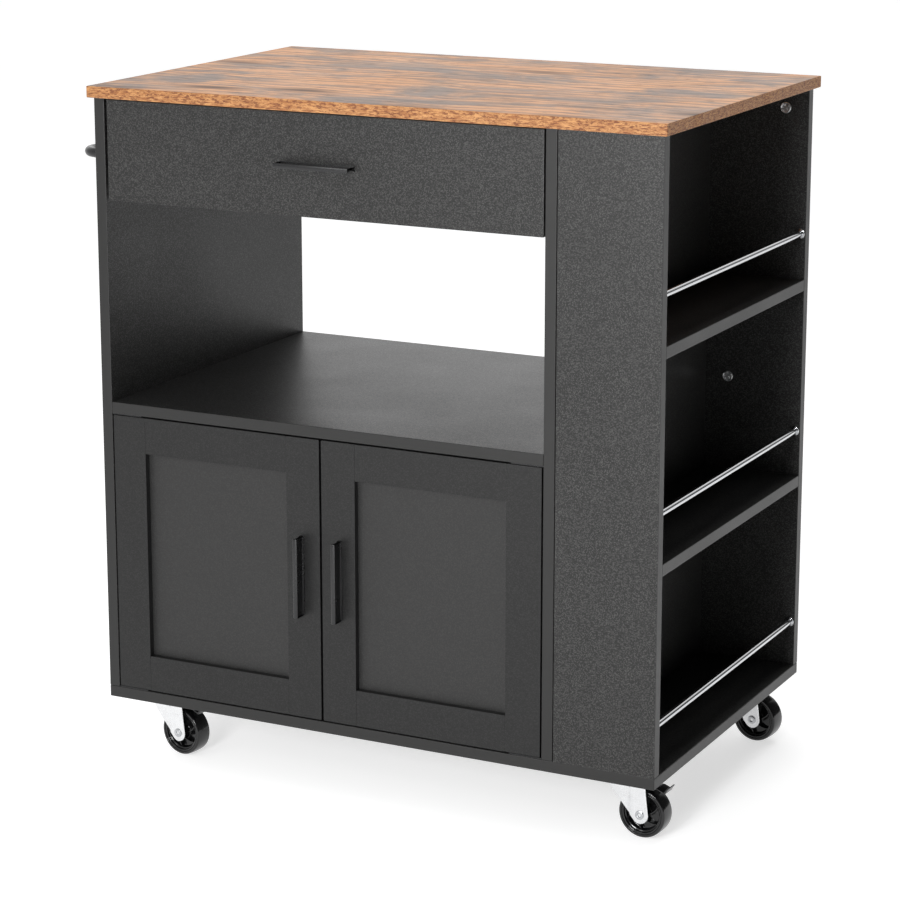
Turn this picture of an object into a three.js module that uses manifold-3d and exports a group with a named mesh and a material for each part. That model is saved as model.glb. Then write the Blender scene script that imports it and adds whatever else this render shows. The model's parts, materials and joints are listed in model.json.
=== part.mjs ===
// A rolling kitchen island cart: a laminated top on a black board carcass with one drawer, an open
// compartment, a two-door cabinet, a three-tier rack on the right side, a towel bar on the left side and
// four swivel casters. Millimetres, +Z up. X runs from the towel bar to the rack, Y from front to back.
// The carcass is laid out from its front left floor corner, and the whole cart is then centred on the origin.
import * as THREE from 'three';
import { mergeVertices } from 'three/addons/utils/BufferGeometryUtils.js';
import Module from 'manifold-3d';

// Boards and carcass
const BOARD = 15;
const BODY_WIDTH = 788;
const BODY_DEPTH = 505;
const CARCASS_HEIGHT = 804;
const TOP_SIDE_OVERHANG = 6;
const TOP_FRONT_OVERHANG = 8;
const TOP_BACK_OVERHANG = 12;
const CASTER_HEIGHT = 82;

// Heights inside the carcass, above the underside of its bottom panel
const MIDDLE_SHELF_TOP = 406;
const DRAWER_FRONT_BOTTOM = 672;
const BAY_RAIL_HEIGHT = 120;
const RACK_BAY_HEIGHT = 253;
const RACK_WIDTH = 137;
const RACK_PANEL_GAP = 1;
const INNER_SHELF_BOTTOM = 196;
const INNER_SHELF_INSET = 35;
const INNER_SHELF_GAP = 1;

// Round bars
const RAIL_DIAMETER = 9;
const RAIL_INSET = 8;
const RAIL_ABOVE_SHELF = 61;
const TOWEL_BAR_DIAMETER = 13;
const TOWEL_BAR_REACH = 53;
const TOWEL_BAR_BEND = 24;
const TOWEL_BAR_HEIGHT = 724;
const TOWEL_BAR_END_INSET = 50;

// Drawer
const DRAWER_GAP_LEFT = 4;
const DRAWER_GAP_RIGHT = 2;
const DRAWER_GAP_TOP = 2;
const DRAWER_SIDE = 12;
const DRAWER_SIDE_HEIGHT = 90;
const DRAWER_SIDE_BOTTOM = 682;
const DRAWER_DEPTH = 400;
const DRAWER_BOTTOM_THICKNESS = 5;
const DRAWER_BOTTOM_RAISE = 8;
const RUNNER_SPACE = 13;
const RUNNER_LENGTH = 398;
const RUNNER_HEIGHT = 40;
const RUNNER_SHEET = 1.25;
const RUNNER_FLANGE = 6;
const SLIDE_HEIGHT = 26;
const SLIDE_FLANGE = 5.75;
const RUNNER_START = 17;

// Doors
const DOOR_SIDE_GAP = 2;
const DOOR_MIDDLE_GAP = 3;
const DOOR_END_GAP = 2;
const DOOR_SLAB = 6;
const DOOR_STRIP = BOARD - DOOR_SLAB;
const DOOR_FRAME_WIDTH = 48;
const DOOR_PIVOT_FROM_EDGE = 6;
const DOOR_PIVOT_FROM_FRONT = 4.5;
const PIVOT_PIN_RADIUS = 2;
const PIVOT_PIN_LENGTH = 12;
const PIVOT_PLATE = 1.5;
const PIVOT_PLATE_LENGTH = 44;
const PIVOT_PLATE_WIDTH = 11;
const PIVOT_PLATE_SETBACK = 1;
const BUSH_INNER_RADIUS = 2.25;
const BUSH_OUTER_RADIUS = 3.2;
const BUSH_BORE_RADIUS = 3.5;
const BUSH_LENGTH = 13;

// Bar handles of I section
const HANDLE_LENGTH = 105;
const HANDLE_REACH = 20;
const HANDLE_FLANGE = 6.5;
const HANDLE_FLANGE_THICKNESS = 2;
const HANDLE_WEB = 2.5;
const DOOR_HANDLE_FROM_EDGE = 26;
const DOOR_HANDLE_HEIGHT = 208;
const DRAWER_HANDLE_HEIGHT = 737;

// Casters. S runs along the trail from the swivel pin to the axle, and the wheel turns about local Y.
const CASTER_INSET_X = 60;
const CASTER_INSET_Y = 55;
const CASTER_TRAIL = 27;
const WHEEL_RADIUS = 32;
const WHEEL_WIDTH = 25;
const WHEEL_SHOULDER = 2.5;
const WHEEL_RIM = 5;
const WHEEL_WEB = 6;
const HUB_RADIUS = 9;
const HUB_WIDTH = 29;
const HUB_BORE_RADIUS = 4.25;
const HUB_RIBS = 6;
const HUB_RIB_THICKNESS = 2.5;
const HUB_RIB_DEPTH = 19;
const AXLE_RADIUS = 4;
const AXLE_HEAD_RADIUS = 6;
const AXLE_HEAD = 1.5;
const AXLE_HEAD_ROOT = 1;
const FORK_SHEET = 2.5;
const FORK_INNER_HALF_WIDTH = 15;
const FORK_TIP_RADIUS = 11.5;
const FORK_TIP_ARC = { from: 218, to: 368 };
const LEG_FRONT = -17;
const LEG_WAIST = { s: -13, z: 60 };
const LEG_REAR_PAST_AXLE = 6;
const BRIDGE_START = 4;
const CROWN_RADIUS = 19;
const CROWN_BOTTOM = 72.25;
const PLATE_LENGTH = 62;
const PLATE_WIDTH = 48;
const PLATE_THICKNESS = 2.5;
const PLATE_CORNER = 6;
const PLATE_HOLE_RADIUS = 3;
const PLATE_HOLE_INSET = 8;
const RACE_RADIUS = 16;
const SWIVEL_PIN_RADIUS = 5;
const SWIVEL_HEAD_RADIUS = 8;
const SWIVEL_HEAD = 2.75;
const WELD_OVERLAP = 1;
const RUNNING_GAP = 0.3;
const BRAKE_HALF_WIDTH = 11;
const BRAKE_PIVOT = { s: 14, z: 67.25 };
const BRAKE_PIN_RADIUS = 2;
const BRAKE_SHEET = 2;
const BRAKE_BARREL_RADIUS = 3;
const BRAKE_TIP_REACH = 35;
const BRAKE_UNDER_PIVOT = 1;
const BRAKE_LIP = { length: 14, drop: 5, heel: 4, toe: 5, rise: 2, thickness: 1 };
const CASTERS = [
  { name: 'front_left', right: false, rear: false, swivel: -9, brake: true },
  { name: 'front_right', right: true, rear: false, swivel: -3, brake: true },
  { name: 'rear_left', right: false, rear: true, swivel: -6, brake: false },
  { name: 'rear_right', right: true, rear: true, swivel: -8, brake: false },
];

// Facets of the round pieces
const FINE = 32;
const MEDIUM = 20;
const COARSE = 12;
const TOWEL_BAR_STEPS = 60;
const PLATE_CORNER_STEPS = 4;

// Planes of the carcass, from the left face, from the front face and from the floor
const floorZ = CASTER_HEIGHT;
const underTop = floorZ + CARCASS_HEIGHT;
const innerBottom = floorZ + BOARD;
const leftInner = BOARD;
const partitionRight = BODY_WIDTH - RACK_WIDTH;
const partitionLeft = partitionRight - BOARD;
const rearInner = BODY_DEPTH - BOARD;
const middleShelfTop = floorZ + MIDDLE_SHELF_TOP;
const middleShelfBottom = middleShelfTop - BOARD;

const laminateBlack = { color: 0x2b2a29, roughness: 0.62, metalness: 0 };
const finishes = {
  top: { color: 0x9a6a42, roughness: 0.5, metalness: 0 },
  carcass: laminateBlack,
  door: { color: 0x2d2c2b, roughness: 0.58, metalness: 0 },
  chrome: { color: 0xd8dadd, roughness: 0.12, metalness: 1 },
  blackMetal: { color: 0x171717, roughness: 0.45, metalness: 0.6 },
  steel: { color: 0xb6b8ba, roughness: 0.35, metalness: 0.9 },
  zinc: { color: 0xe3e4e4, roughness: 0.35, metalness: 0.8 },
  wheel: { color: 0x0b0b0c, roughness: 0.22, metalness: 0 },
  drawerBox: { color: 0x3a3835, roughness: 0.7, metalness: 0 },
};

const manifold = await Module();
manifold.setup();

function mesh(name, geometry, finish) {
  const made = new THREE.Mesh(geometry, new THREE.MeshStandardMaterial(finishes[finish]));
  made.name = name;
  return made;
}

// A rectangular board given by its spans along X, Y and Z.
function board(name, finish, [x0, x1], [y0, y1], [z0, z1]) {
  const made = mesh(name, new THREE.BoxGeometry(x1 - x0, y1 - y0, z1 - z0), finish);
  made.position.set((x0 + x1) / 2, (y0 + y1) / 2, (z0 + z1) / 2);
  return made;
}

function solidOf(geometry) {
  const bare = geometry.clone();
  bare.deleteAttribute('normal');
  bare.deleteAttribute('uv');
  const merged = mergeVertices(bare, 1e-4);
  return new manifold.Manifold(new manifold.Mesh({
    numProp: 3,
    vertProperties: new Float32Array(merged.attributes.position.array),
    triVerts: new Uint32Array(merged.index.array),
  }));
}

function geometryOf(solid) {
  const { vertProperties, triVerts } = solid.getMesh();
  const geometry = new THREE.BufferGeometry();
  geometry.setAttribute('position', new THREE.BufferAttribute(vertProperties, 3));
  geometry.setIndex(new THREE.BufferAttribute(triVerts, 1));
  geometry.computeVertexNormals();
  return geometry;
}

function joined(geometries) {
  return geometries.map(solidOf).reduce((whole, next) => whole.add(next));
}

function cut(solid, cutters) {
  return cutters.map(solidOf).reduce((rest, cutter) => rest.subtract(cutter), solid);
}

// Cylinders whose axis runs along Z or along Y, between two stations.
function cylinderZ(radius, x, y, [z0, z1], facets) {
  return new THREE.CylinderGeometry(radius, radius, z1 - z0, facets)
    .rotateX(Math.PI / 2)
    .translate(x, y, (z0 + z1) / 2);
}

function cylinderY(radius, x, z, [y0, y1], facets) {
  return new THREE.CylinderGeometry(radius, radius, y1 - y0, facets).translate(x, (y0 + y1) / 2, z);
}

// A flat outline in the XZ plane, carried along Y.
function extrudeAlongY(shape, [y0, y1], curveSegments) {
  return new THREE.ExtrudeGeometry(shape, { depth: y1 - y0, bevelEnabled: false, curveSegments })
    .rotateX(Math.PI / 2)
    .translate(0, y1, 0);
}

function outline(points) {
  return new THREE.Shape(points.map(([x, y]) => new THREE.Vector2(x, y)));
}

// Carcass boards: the bottom panel runs under the uprights, and the top lies over them.
function carcass() {
  const group = new THREE.Group();
  const depth = [0, BODY_DEPTH];
  const upright = [innerBottom, underTop];
  const cabinetWidth = [leftInner, partitionLeft];
  group.add(
    board('top_board', 'top', [-TOP_SIDE_OVERHANG, BODY_WIDTH + TOP_SIDE_OVERHANG],
      [-TOP_FRONT_OVERHANG, BODY_DEPTH + TOP_BACK_OVERHANG], [underTop, underTop + BOARD]),
    board('bottom_panel', 'carcass', [0, BODY_WIDTH], depth, [floorZ, innerBottom]),
    board('left_side_panel', 'carcass', [0, leftInner], depth, upright),
    board('partition_panel', 'carcass', [partitionLeft, partitionRight], depth, upright),
    board('middle_shelf', 'carcass', cabinetWidth, depth, [middleShelfBottom, middleShelfTop]),
    board('cabinet_back_panel', 'carcass', cabinetWidth, [rearInner, BODY_DEPTH],
      [innerBottom, middleShelfBottom]),
    board('drawer_bay_back_rail', 'carcass', cabinetWidth, [rearInner, BODY_DEPTH],
      [underTop - BAY_RAIL_HEIGHT, underTop]),
    board('cabinet_inner_shelf', 'carcass',
      [leftInner + INNER_SHELF_GAP, partitionLeft - INNER_SHELF_GAP],
      [INNER_SHELF_INSET, rearInner - INNER_SHELF_GAP],
      [floorZ + INNER_SHELF_BOTTOM, floorZ + INNER_SHELF_BOTTOM + BOARD]),
  );
  return group;
}

// The rack on the right: a front and a rear panel stand off the partition, with shelves between them.
function rack() {
  const group = new THREE.Group();
  const upright = [innerBottom, underTop];
  group.add(
    board('rack_front_panel', 'carcass', [partitionRight + RACK_PANEL_GAP, BODY_WIDTH], [0, BOARD], upright),
    board('rack_rear_panel', 'carcass', [partitionRight, BODY_WIDTH], [rearInner, BODY_DEPTH], upright),
  );
  const shelfStep = RACK_BAY_HEIGHT + BOARD;
  const bayFloors = ['lower', 'middle', 'upper'].map((tier, n) => [tier, innerBottom + n * shelfStep]);
  for (const [tier, bayFloor] of bayFloors) {
    if (bayFloor > innerBottom) {
      group.add(board(`rack_shelf_${tier}`, 'carcass', [partitionRight, BODY_WIDTH],
        [BOARD, rearInner], [bayFloor - BOARD, bayFloor]));
    }
    group.add(mesh(`rack_rail_${tier}`, cylinderY(RAIL_DIAMETER / 2, BODY_WIDTH - RAIL_INSET,
      bayFloor + RAIL_ABOVE_SHELF, [BOARD, rearInner], MEDIUM), 'chrome'));
  }
  return group;
}

// The towel bar leaves the left panel, bends to run along it, and bends back into it.
function towelBar() {
  const near = TOWEL_BAR_END_INSET;
  const far = BODY_DEPTH - TOWEL_BAR_END_INSET;
  const z = floorZ + TOWEL_BAR_HEIGHT;
  const at = (x, y) => new THREE.Vector3(x, y, z);
  const corner = -TOWEL_BAR_REACH;
  const bend = TOWEL_BAR_BEND;
  const path = new THREE.CurvePath();
  const nearArm = at(corner + bend, near);
  const barStart = at(corner, near + bend);
  const barEnd = at(corner, far - bend);
  const farArm = at(corner + bend, far);
  path.add(new THREE.LineCurve3(at(0, near), nearArm));
  path.add(new THREE.QuadraticBezierCurve3(nearArm, at(corner, near), barStart));
  path.add(new THREE.LineCurve3(barStart, barEnd));
  path.add(new THREE.QuadraticBezierCurve3(barEnd, at(corner, far), farArm));
  path.add(new THREE.LineCurve3(farArm, at(0, far)));
  const section = new THREE.Shape().absarc(0, 0, TOWEL_BAR_DIAMETER / 2, 0, 2 * Math.PI);
  const geometry = new THREE.ExtrudeGeometry(section,
    { steps: TOWEL_BAR_STEPS, curveSegments: COARSE / 2, extrudePath: path });
  return mesh('towel_bar', geometry, 'blackMetal');
}

// An I-section bar: one flange on the face it is fixed to and one in front, joined by a web.
// It is built upright with its back on the plane Y = 0, and lies along X when turned.
function barHandle(name, x, z, lying) {
  const half = HANDLE_FLANGE / 2;
  const web = HANDLE_WEB / 2;
  const front = -HANDLE_REACH;
  const inner = front + HANDLE_FLANGE_THICKNESS;
  const back = -HANDLE_FLANGE_THICKNESS;
  const section = outline([
    [-half, front], [half, front], [half, inner], [web, inner], [web, back], [half, back],
    [half, 0], [-half, 0], [-half, back], [-web, back], [-web, inner], [-half, inner],
  ]);
  const geometry = new THREE.ExtrudeGeometry(section, { depth: HANDLE_LENGTH, bevelEnabled: false });
  geometry.translate(0, 0, -HANDLE_LENGTH / 2);
  if (lying) geometry.rotateY(Math.PI / 2);
  const made = mesh(name, geometry, 'blackMetal');
  made.position.set(x, 0, z);
  return made;
}

// A thin C channel along Y: its web is on the plane X = x and its flanges point towards +X or -X.
function channel(name, x, direction, flange, height) {
  const middle = floorZ + DRAWER_SIDE_BOTTOM + DRAWER_SIDE_HEIGHT / 2;
  const half = height / 2;
  const sheet = RUNNER_SHEET;
  const profile = [
    [0, -half], [flange, -half], [flange, -half + sheet], [sheet, -half + sheet],
    [sheet, half - sheet], [flange, half - sheet], [flange, half], [0, half],
  ].map(([across, up]) => [x + direction * across, middle + up]);
  const turned = direction > 0 ? profile : profile.reverse();
  const geometry = extrudeAlongY(outline(turned), [RUNNER_START, RUNNER_START + RUNNER_LENGTH], 1);
  return mesh(name, geometry, 'steel');
}

function drawer() {
  const group = new THREE.Group();
  const outer = [leftInner + RUNNER_SPACE, partitionLeft - RUNNER_SPACE];
  const inner = [outer[0] + DRAWER_SIDE, outer[1] - DRAWER_SIDE];
  const front = [leftInner + DRAWER_GAP_LEFT, partitionLeft - DRAWER_GAP_RIGHT];
  const back = BOARD + DRAWER_DEPTH;
  const sideZ = [floorZ + DRAWER_SIDE_BOTTOM, floorZ + DRAWER_SIDE_BOTTOM + DRAWER_SIDE_HEIGHT];
  const bottom = sideZ[0] + DRAWER_BOTTOM_RAISE;
  group.add(
    board('drawer_front', 'carcass', front, [0, BOARD],
      [floorZ + DRAWER_FRONT_BOTTOM, underTop - DRAWER_GAP_TOP]),
    board('drawer_side_left', 'drawerBox', [outer[0], inner[0]], [BOARD, back], sideZ),
    board('drawer_side_right', 'drawerBox', [inner[1], outer[1]], [BOARD, back], sideZ),
    board('drawer_back', 'drawerBox', inner, [back - DRAWER_SIDE, back], sideZ),
    board('drawer_bottom', 'drawerBox', inner, [BOARD, back - DRAWER_SIDE],
      [bottom, bottom + DRAWER_BOTTOM_THICKNESS]),
    barHandle('drawer_handle', (front[0] + front[1]) / 2, floorZ + DRAWER_HANDLE_HEIGHT, true),
    channel('drawer_slide_left', outer[0], -1, SLIDE_FLANGE, SLIDE_HEIGHT),
    channel('drawer_slide_right', outer[1], 1, SLIDE_FLANGE, SLIDE_HEIGHT),
  );
  return group;
}

function drawerRunners() {
  const group = new THREE.Group();
  group.add(
    channel('drawer_runner_left', leftInner, 1, RUNNER_FLANGE, RUNNER_HEIGHT),
    channel('drawer_runner_right', partitionLeft, -1, RUNNER_FLANGE, RUNNER_HEIGHT),
  );
  return group;
}

// One inset door with its pivots. `edge` is the X of its hinge edge, and `inward` points to the other edge.
// A slab carries applied stiles and rails, which make the recessed centre.
function door(side, edge, inward) {
  const group = new THREE.Group();
  const width = (partitionLeft - leftInner - 2 * DOOR_SIDE_GAP - DOOR_MIDDLE_GAP) / 2;
  const low = innerBottom + DOOR_END_GAP;
  const high = middleShelfBottom - DOOR_END_GAP;
  const span = (from, to) => [edge + inward * from, edge + inward * to].sort((a, b) => a - b);
  const strip = [0, DOOR_STRIP];
  const hingeStile = board('stile', 'door', span(0, DOOR_FRAME_WIDTH), strip, [low, high]);
  const rails = span(DOOR_FRAME_WIDTH, width - DOOR_FRAME_WIDTH);
  const pivotX = edge + inward * DOOR_PIVOT_FROM_EDGE;
  const pivotY = DOOR_PIVOT_FROM_FRONT;
  const boreOverrun = 1;
  const bores = [
    cylinderZ(BUSH_BORE_RADIUS, pivotX, pivotY, [high - BUSH_LENGTH, high + boreOverrun], COARSE),
    cylinderZ(BUSH_BORE_RADIUS, pivotX, pivotY, [low - boreOverrun, low + BUSH_LENGTH], COARSE),
  ];
  const { geometry, position } = hingeStile;
  const placed = solidOf(geometry.clone().translate(position.x, position.y, position.z));
  group.add(
    mesh(`${side}_door_hinge_stile`, geometryOf(cut(placed, bores)), 'door'),
    board(`${side}_door_slab`, 'door', span(0, width), [DOOR_STRIP, BOARD], [low, high]),
    board(`${side}_door_meeting_stile`, 'door', span(width - DOOR_FRAME_WIDTH, width), strip, [low, high]),
    board(`${side}_door_top_rail`, 'door', rails, strip, [high - DOOR_FRAME_WIDTH, high]),
    board(`${side}_door_bottom_rail`, 'door', rails, strip, [low, low + DOOR_FRAME_WIDTH]),
    barHandle(`${side}_door_handle`, edge + inward * (width - DOOR_HANDLE_FROM_EDGE),
      floorZ + DOOR_HANDLE_HEIGHT, false),
    bush(`${side}_door_upper_bush`, pivotX, pivotY, [high - BUSH_LENGTH + RUNNING_GAP, high]),
    bush(`${side}_door_lower_bush`, pivotX, pivotY, [low, low + BUSH_LENGTH - RUNNING_GAP]),
  );
  return group;
}

// A plain sleeve pressed into the door's edge, in which the pivot pin turns.
function bush(name, x, y, [z0, z1]) {
  const profile = [
    [BUSH_INNER_RADIUS, z0], [BUSH_OUTER_RADIUS, z0], [BUSH_OUTER_RADIUS, z1], [BUSH_INNER_RADIUS, z1],
    [BUSH_INNER_RADIUS, z0],
  ].map(([r, z]) => new THREE.Vector2(r, z));
  const geometry = new THREE.LatheGeometry(profile, COARSE).rotateX(Math.PI / 2);
  return mesh(name, geometryOf(solidOf(geometry)).translate(x, y, 0), 'steel');
}

// A pivot plate screwed to the carcass above or below the door, with the pin that enters the bush.
function pivotPlate(name, edge, inward, [z0, z1], pinEnd) {
  const pivotX = edge + inward * DOOR_PIVOT_FROM_EDGE;
  const start = edge - inward * (DOOR_SIDE_GAP - RUNNING_GAP);
  const middle = start + inward * PIVOT_PLATE_LENGTH / 2;
  const inPlate = (z0 + z1) / 2;
  const plate = new THREE.BoxGeometry(PIVOT_PLATE_LENGTH, PIVOT_PLATE_WIDTH, z1 - z0)
    .translate(middle, PIVOT_PLATE_SETBACK + PIVOT_PLATE_WIDTH / 2, inPlate);
  const pin = cylinderZ(PIVOT_PIN_RADIUS, pivotX, DOOR_PIVOT_FROM_FRONT,
    [Math.min(inPlate, pinEnd), Math.max(inPlate, pinEnd)], COARSE);
  return mesh(name, geometryOf(joined([plate, pin])), 'steel');
}

function doorPivots(side, edge, inward) {
  const group = new THREE.Group();
  const high = middleShelfBottom;
  const low = innerBottom;
  group.add(
    pivotPlate(`${side}_door_upper_pivot`, edge, inward, [high - PIVOT_PLATE, high],
      high - PIVOT_PLATE - PIVOT_PIN_LENGTH),
    pivotPlate(`${side}_door_lower_pivot`, edge, inward, [low, low + PIVOT_PLATE],
      low + PIVOT_PLATE + PIVOT_PIN_LENGTH),
  );
  return group;
}

// A caster's fixed half: the screw plate, the upper race, and the swivel pin with its riveted head.
function casterPlate(name) {
  const half = [PLATE_LENGTH / 2, PLATE_WIDTH / 2];
  const corner = PLATE_CORNER;
  const shape = new THREE.Shape();
  for (const [sx, sy, start] of [[1, 1, 0], [-1, 1, 1], [-1, -1, 2], [1, -1, 3]]) {
    shape.absarc(sx * (half[0] - corner), sy * (half[1] - corner), corner,
      start * Math.PI / 2, (start + 1) * Math.PI / 2);
    const hole = new THREE.Path();
    hole.absarc(sx * (half[0] - PLATE_HOLE_INSET), sy * (half[1] - PLATE_HOLE_INSET),
      PLATE_HOLE_RADIUS, 0, 2 * Math.PI);
    shape.holes.push(hole);
  }
  const plateBottom = CASTER_HEIGHT - PLATE_THICKNESS;
  const plate = new THREE.ExtrudeGeometry(shape,
    { depth: PLATE_THICKNESS, bevelEnabled: false, curveSegments: PLATE_CORNER_STEPS })
    .translate(0, 0, plateBottom);
  const raceBottom = CROWN_BOTTOM + FORK_SHEET + RUNNING_GAP;
  const headTop = CROWN_BOTTOM - RUNNING_GAP;
  const race = cylinderZ(RACE_RADIUS, 0, 0, [raceBottom, plateBottom + WELD_OVERLAP], MEDIUM);
  const pin = cylinderZ(SWIVEL_PIN_RADIUS, 0, 0, [headTop - WELD_OVERLAP, raceBottom + WELD_OVERLAP], MEDIUM);
  const head = cylinderZ(SWIVEL_HEAD_RADIUS, 0, 0, [headTop - SWIVEL_HEAD, headTop], MEDIUM);
  return mesh(name, geometryOf(joined([plate, race, pin, head])), 'zinc');
}

// One leg's outline in the plane of the wheel: broad under the crown, round about the axle.
function legOutline() {
  const shape = new THREE.Shape();
  const crownTop = CROWN_BOTTOM + FORK_SHEET;
  shape.moveTo(LEG_FRONT, crownTop);
  shape.lineTo(LEG_WAIST.s, LEG_WAIST.z);
  shape.absarc(CASTER_TRAIL, WHEEL_RADIUS, FORK_TIP_RADIUS,
    THREE.MathUtils.degToRad(FORK_TIP_ARC.from), THREE.MathUtils.degToRad(FORK_TIP_ARC.to));
  shape.lineTo(CASTER_TRAIL + LEG_REAR_PAST_AXLE, crownTop);
  return shape;
}

// A caster's fork: a crown that turns about the swivel pin, two legs, and the riveted axle.
function casterFork(name, hasBrake) {
  const inner = FORK_INNER_HALF_WIDTH;
  const outer = inner + FORK_SHEET;
  const crownTop = CROWN_BOTTOM + FORK_SHEET;
  const crown = cylinderZ(CROWN_RADIUS, 0, 0, [CROWN_BOTTOM, crownTop], FINE);
  const bridgeEnd = CASTER_TRAIL + LEG_REAR_PAST_AXLE;
  const bridge = new THREE.BoxGeometry(bridgeEnd - BRIDGE_START, 2 * outer, FORK_SHEET)
    .translate((BRIDGE_START + bridgeEnd) / 2, 0, CROWN_BOTTOM + FORK_SHEET / 2);
  const legs = [[-outer, -inner], [inner, outer]].map((span) => extrudeAlongY(legOutline(), span, COARSE));
  const axle = cylinderY(AXLE_RADIUS, CASTER_TRAIL, WHEEL_RADIUS, [-outer, outer], MEDIUM);
  const heads = [[-outer - AXLE_HEAD, -outer + AXLE_HEAD_ROOT], [outer - AXLE_HEAD_ROOT, outer + AXLE_HEAD]]
    .map((span) => cylinderY(AXLE_HEAD_RADIUS, CASTER_TRAIL, WHEEL_RADIUS, span, MEDIUM));
  const overrun = 1;
  const cutters = [
    cylinderZ(SWIVEL_PIN_RADIUS + RUNNING_GAP, 0, 0, [CROWN_BOTTOM - overrun, crownTop + overrun], MEDIUM),
  ];
  if (hasBrake) {
    cutters.push(cylinderY(BRAKE_PIN_RADIUS + RUNNING_GAP, BRAKE_PIVOT.s, BRAKE_PIVOT.z,
      [-outer - overrun, outer + overrun], COARSE));
  }
  return mesh(name, geometryOf(cut(joined([crown, bridge, ...legs, axle, ...heads]), cutters)), 'zinc');
}

// The wheel: a tread ring, a thin web and a hub in one moulding, with radial ribs in both hollow faces.
function wheel(name) {
  const half = WHEEL_WIDTH / 2;
  const rim = WHEEL_RADIUS - WHEEL_RIM;
  const shoulder = WHEEL_SHOULDER;
  const web = WHEEL_WEB / 2;
  const side = [
    [HUB_BORE_RADIUS, HUB_WIDTH / 2], [HUB_RADIUS, HUB_WIDTH / 2], [HUB_RADIUS, web], [rim, web],
    [rim, half], [WHEEL_RADIUS - shoulder, half], [WHEEL_RADIUS, half - shoulder],
  ];
  const underside = side.map(([r, y]) => [r, -y]);
  const profile = [...underside, ...side.reverse(), underside[0]]
    .map(([r, y]) => new THREE.Vector2(r, y));
  const body = new THREE.LatheGeometry(profile, FINE);
  const ribLength = rim - HUB_RADIUS + 2 * WELD_OVERLAP;
  const ribs = Array.from({ length: HUB_RIBS }, (_, n) => new THREE
    .BoxGeometry(ribLength, HUB_RIB_DEPTH, HUB_RIB_THICKNESS)
    .translate(HUB_RADIUS - WELD_OVERLAP + ribLength / 2, 0, 0)
    .rotateY(n * 2 * Math.PI / HUB_RIBS));
  const made = mesh(name, geometryOf(joined([body, ...ribs])), 'wheel');
  made.position.set(CASTER_TRAIL, 0, WHEEL_RADIUS);
  return made;
}

// The brake pedal: a bent sheet over the tread, hinged between the fork's legs on its own pin.
function brakePedal(name) {
  const { s, z } = BRAKE_PIVOT;
  const tip = CASTER_TRAIL + BRAKE_TIP_REACH;
  const low = z - BRAKE_UNDER_PIVOT;
  const high = low + BRAKE_SHEET;
  const lip = BRAKE_LIP;
  const side = outline([
    [s, low], [tip - lip.length, low], [tip - lip.heel, low - lip.drop], [tip, low + lip.rise],
    [tip - lip.thickness, high + lip.thickness], [tip - lip.toe, high - lip.drop + lip.thickness],
    [tip - lip.length, high], [s, high],
  ]);
  const blade = extrudeAlongY(side, [-BRAKE_HALF_WIDTH, BRAKE_HALF_WIDTH], 1);
  const barrel = cylinderY(BRAKE_BARREL_RADIUS, s, z, [-BRAKE_HALF_WIDTH, BRAKE_HALF_WIDTH], COARSE);
  const reach = FORK_INNER_HALF_WIDTH + FORK_SHEET;
  const pin = cylinderY(BRAKE_PIN_RADIUS, s, z, [-reach, reach], COARSE);
  return mesh(name, geometryOf(joined([blade, barrel, pin])), 'wheel');
}

function caster({ name, right, rear, swivel, brake }) {
  const group = new THREE.Group();
  group.position.set(right ? BODY_WIDTH - CASTER_INSET_X : CASTER_INSET_X,
    rear ? BODY_DEPTH - CASTER_INSET_Y : CASTER_INSET_Y, 0);
  group.add(casterPlate(`caster_plate_${name}`));
  const turning = new THREE.Group();
  turning.rotation.z = THREE.MathUtils.degToRad(swivel);
  turning.add(casterFork(`caster_fork_${name}`, brake), wheel(`caster_wheel_${name}`));
  if (brake) turning.add(brakePedal(`caster_brake_${name}`));
  group.add(turning);
  return group;
}

const leftEdge = leftInner + DOOR_SIDE_GAP;
const rightEdge = partitionLeft - DOOR_SIDE_GAP;
const towelBarSide = -TOWEL_BAR_REACH - TOWEL_BAR_DIAMETER / 2;
const topBack = BODY_DEPTH + TOP_BACK_OVERHANG;

const cart = new THREE.Group();
cart.position.set(
  -(towelBarSide + BODY_WIDTH + TOP_SIDE_OVERHANG) / 2,
  -(topBack - HANDLE_REACH) / 2,
  0,
);
cart.add(
  carcass(),
  rack(),
  towelBar(),
  drawerRunners(),
  drawer(),
  doorPivots('left', leftEdge, 1),
  doorPivots('right', rightEdge, -1),
  door('left', leftEdge, 1),
  door('right', rightEdge, -1),
  ...CASTERS.map(caster),
);

export default cart;
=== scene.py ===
"""The looks of a rolling kitchen island cart, built round its CAD frame: laminated boards with soft edges,
a rustic wood-print top, moulded wheels in pressed steel forks, chrome rack rails, a bent towel bar and the
small fittings that hold the boards together. Lengths are metres in the frame's own axes."""

import json
import math

import bpy
import numpy as np
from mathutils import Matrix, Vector


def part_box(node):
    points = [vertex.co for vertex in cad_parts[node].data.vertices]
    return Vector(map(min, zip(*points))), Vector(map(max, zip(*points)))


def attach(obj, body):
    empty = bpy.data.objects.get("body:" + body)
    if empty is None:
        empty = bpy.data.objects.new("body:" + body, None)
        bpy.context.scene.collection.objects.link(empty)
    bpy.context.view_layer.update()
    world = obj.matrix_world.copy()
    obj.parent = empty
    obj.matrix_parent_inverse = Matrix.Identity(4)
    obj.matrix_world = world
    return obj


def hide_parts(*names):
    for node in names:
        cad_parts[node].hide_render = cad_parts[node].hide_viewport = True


bl_info = {
    "name": "Kitchen Island Cart Looks",
    "version": (1, 0, 0),
    "blender": (4, 5, 0),
    "location": "3D View > Sidebar > Island Cart",
    "description": "Finishes and fine pieces for a rolling kitchen island cart",
    "category": "Object",
}

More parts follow.
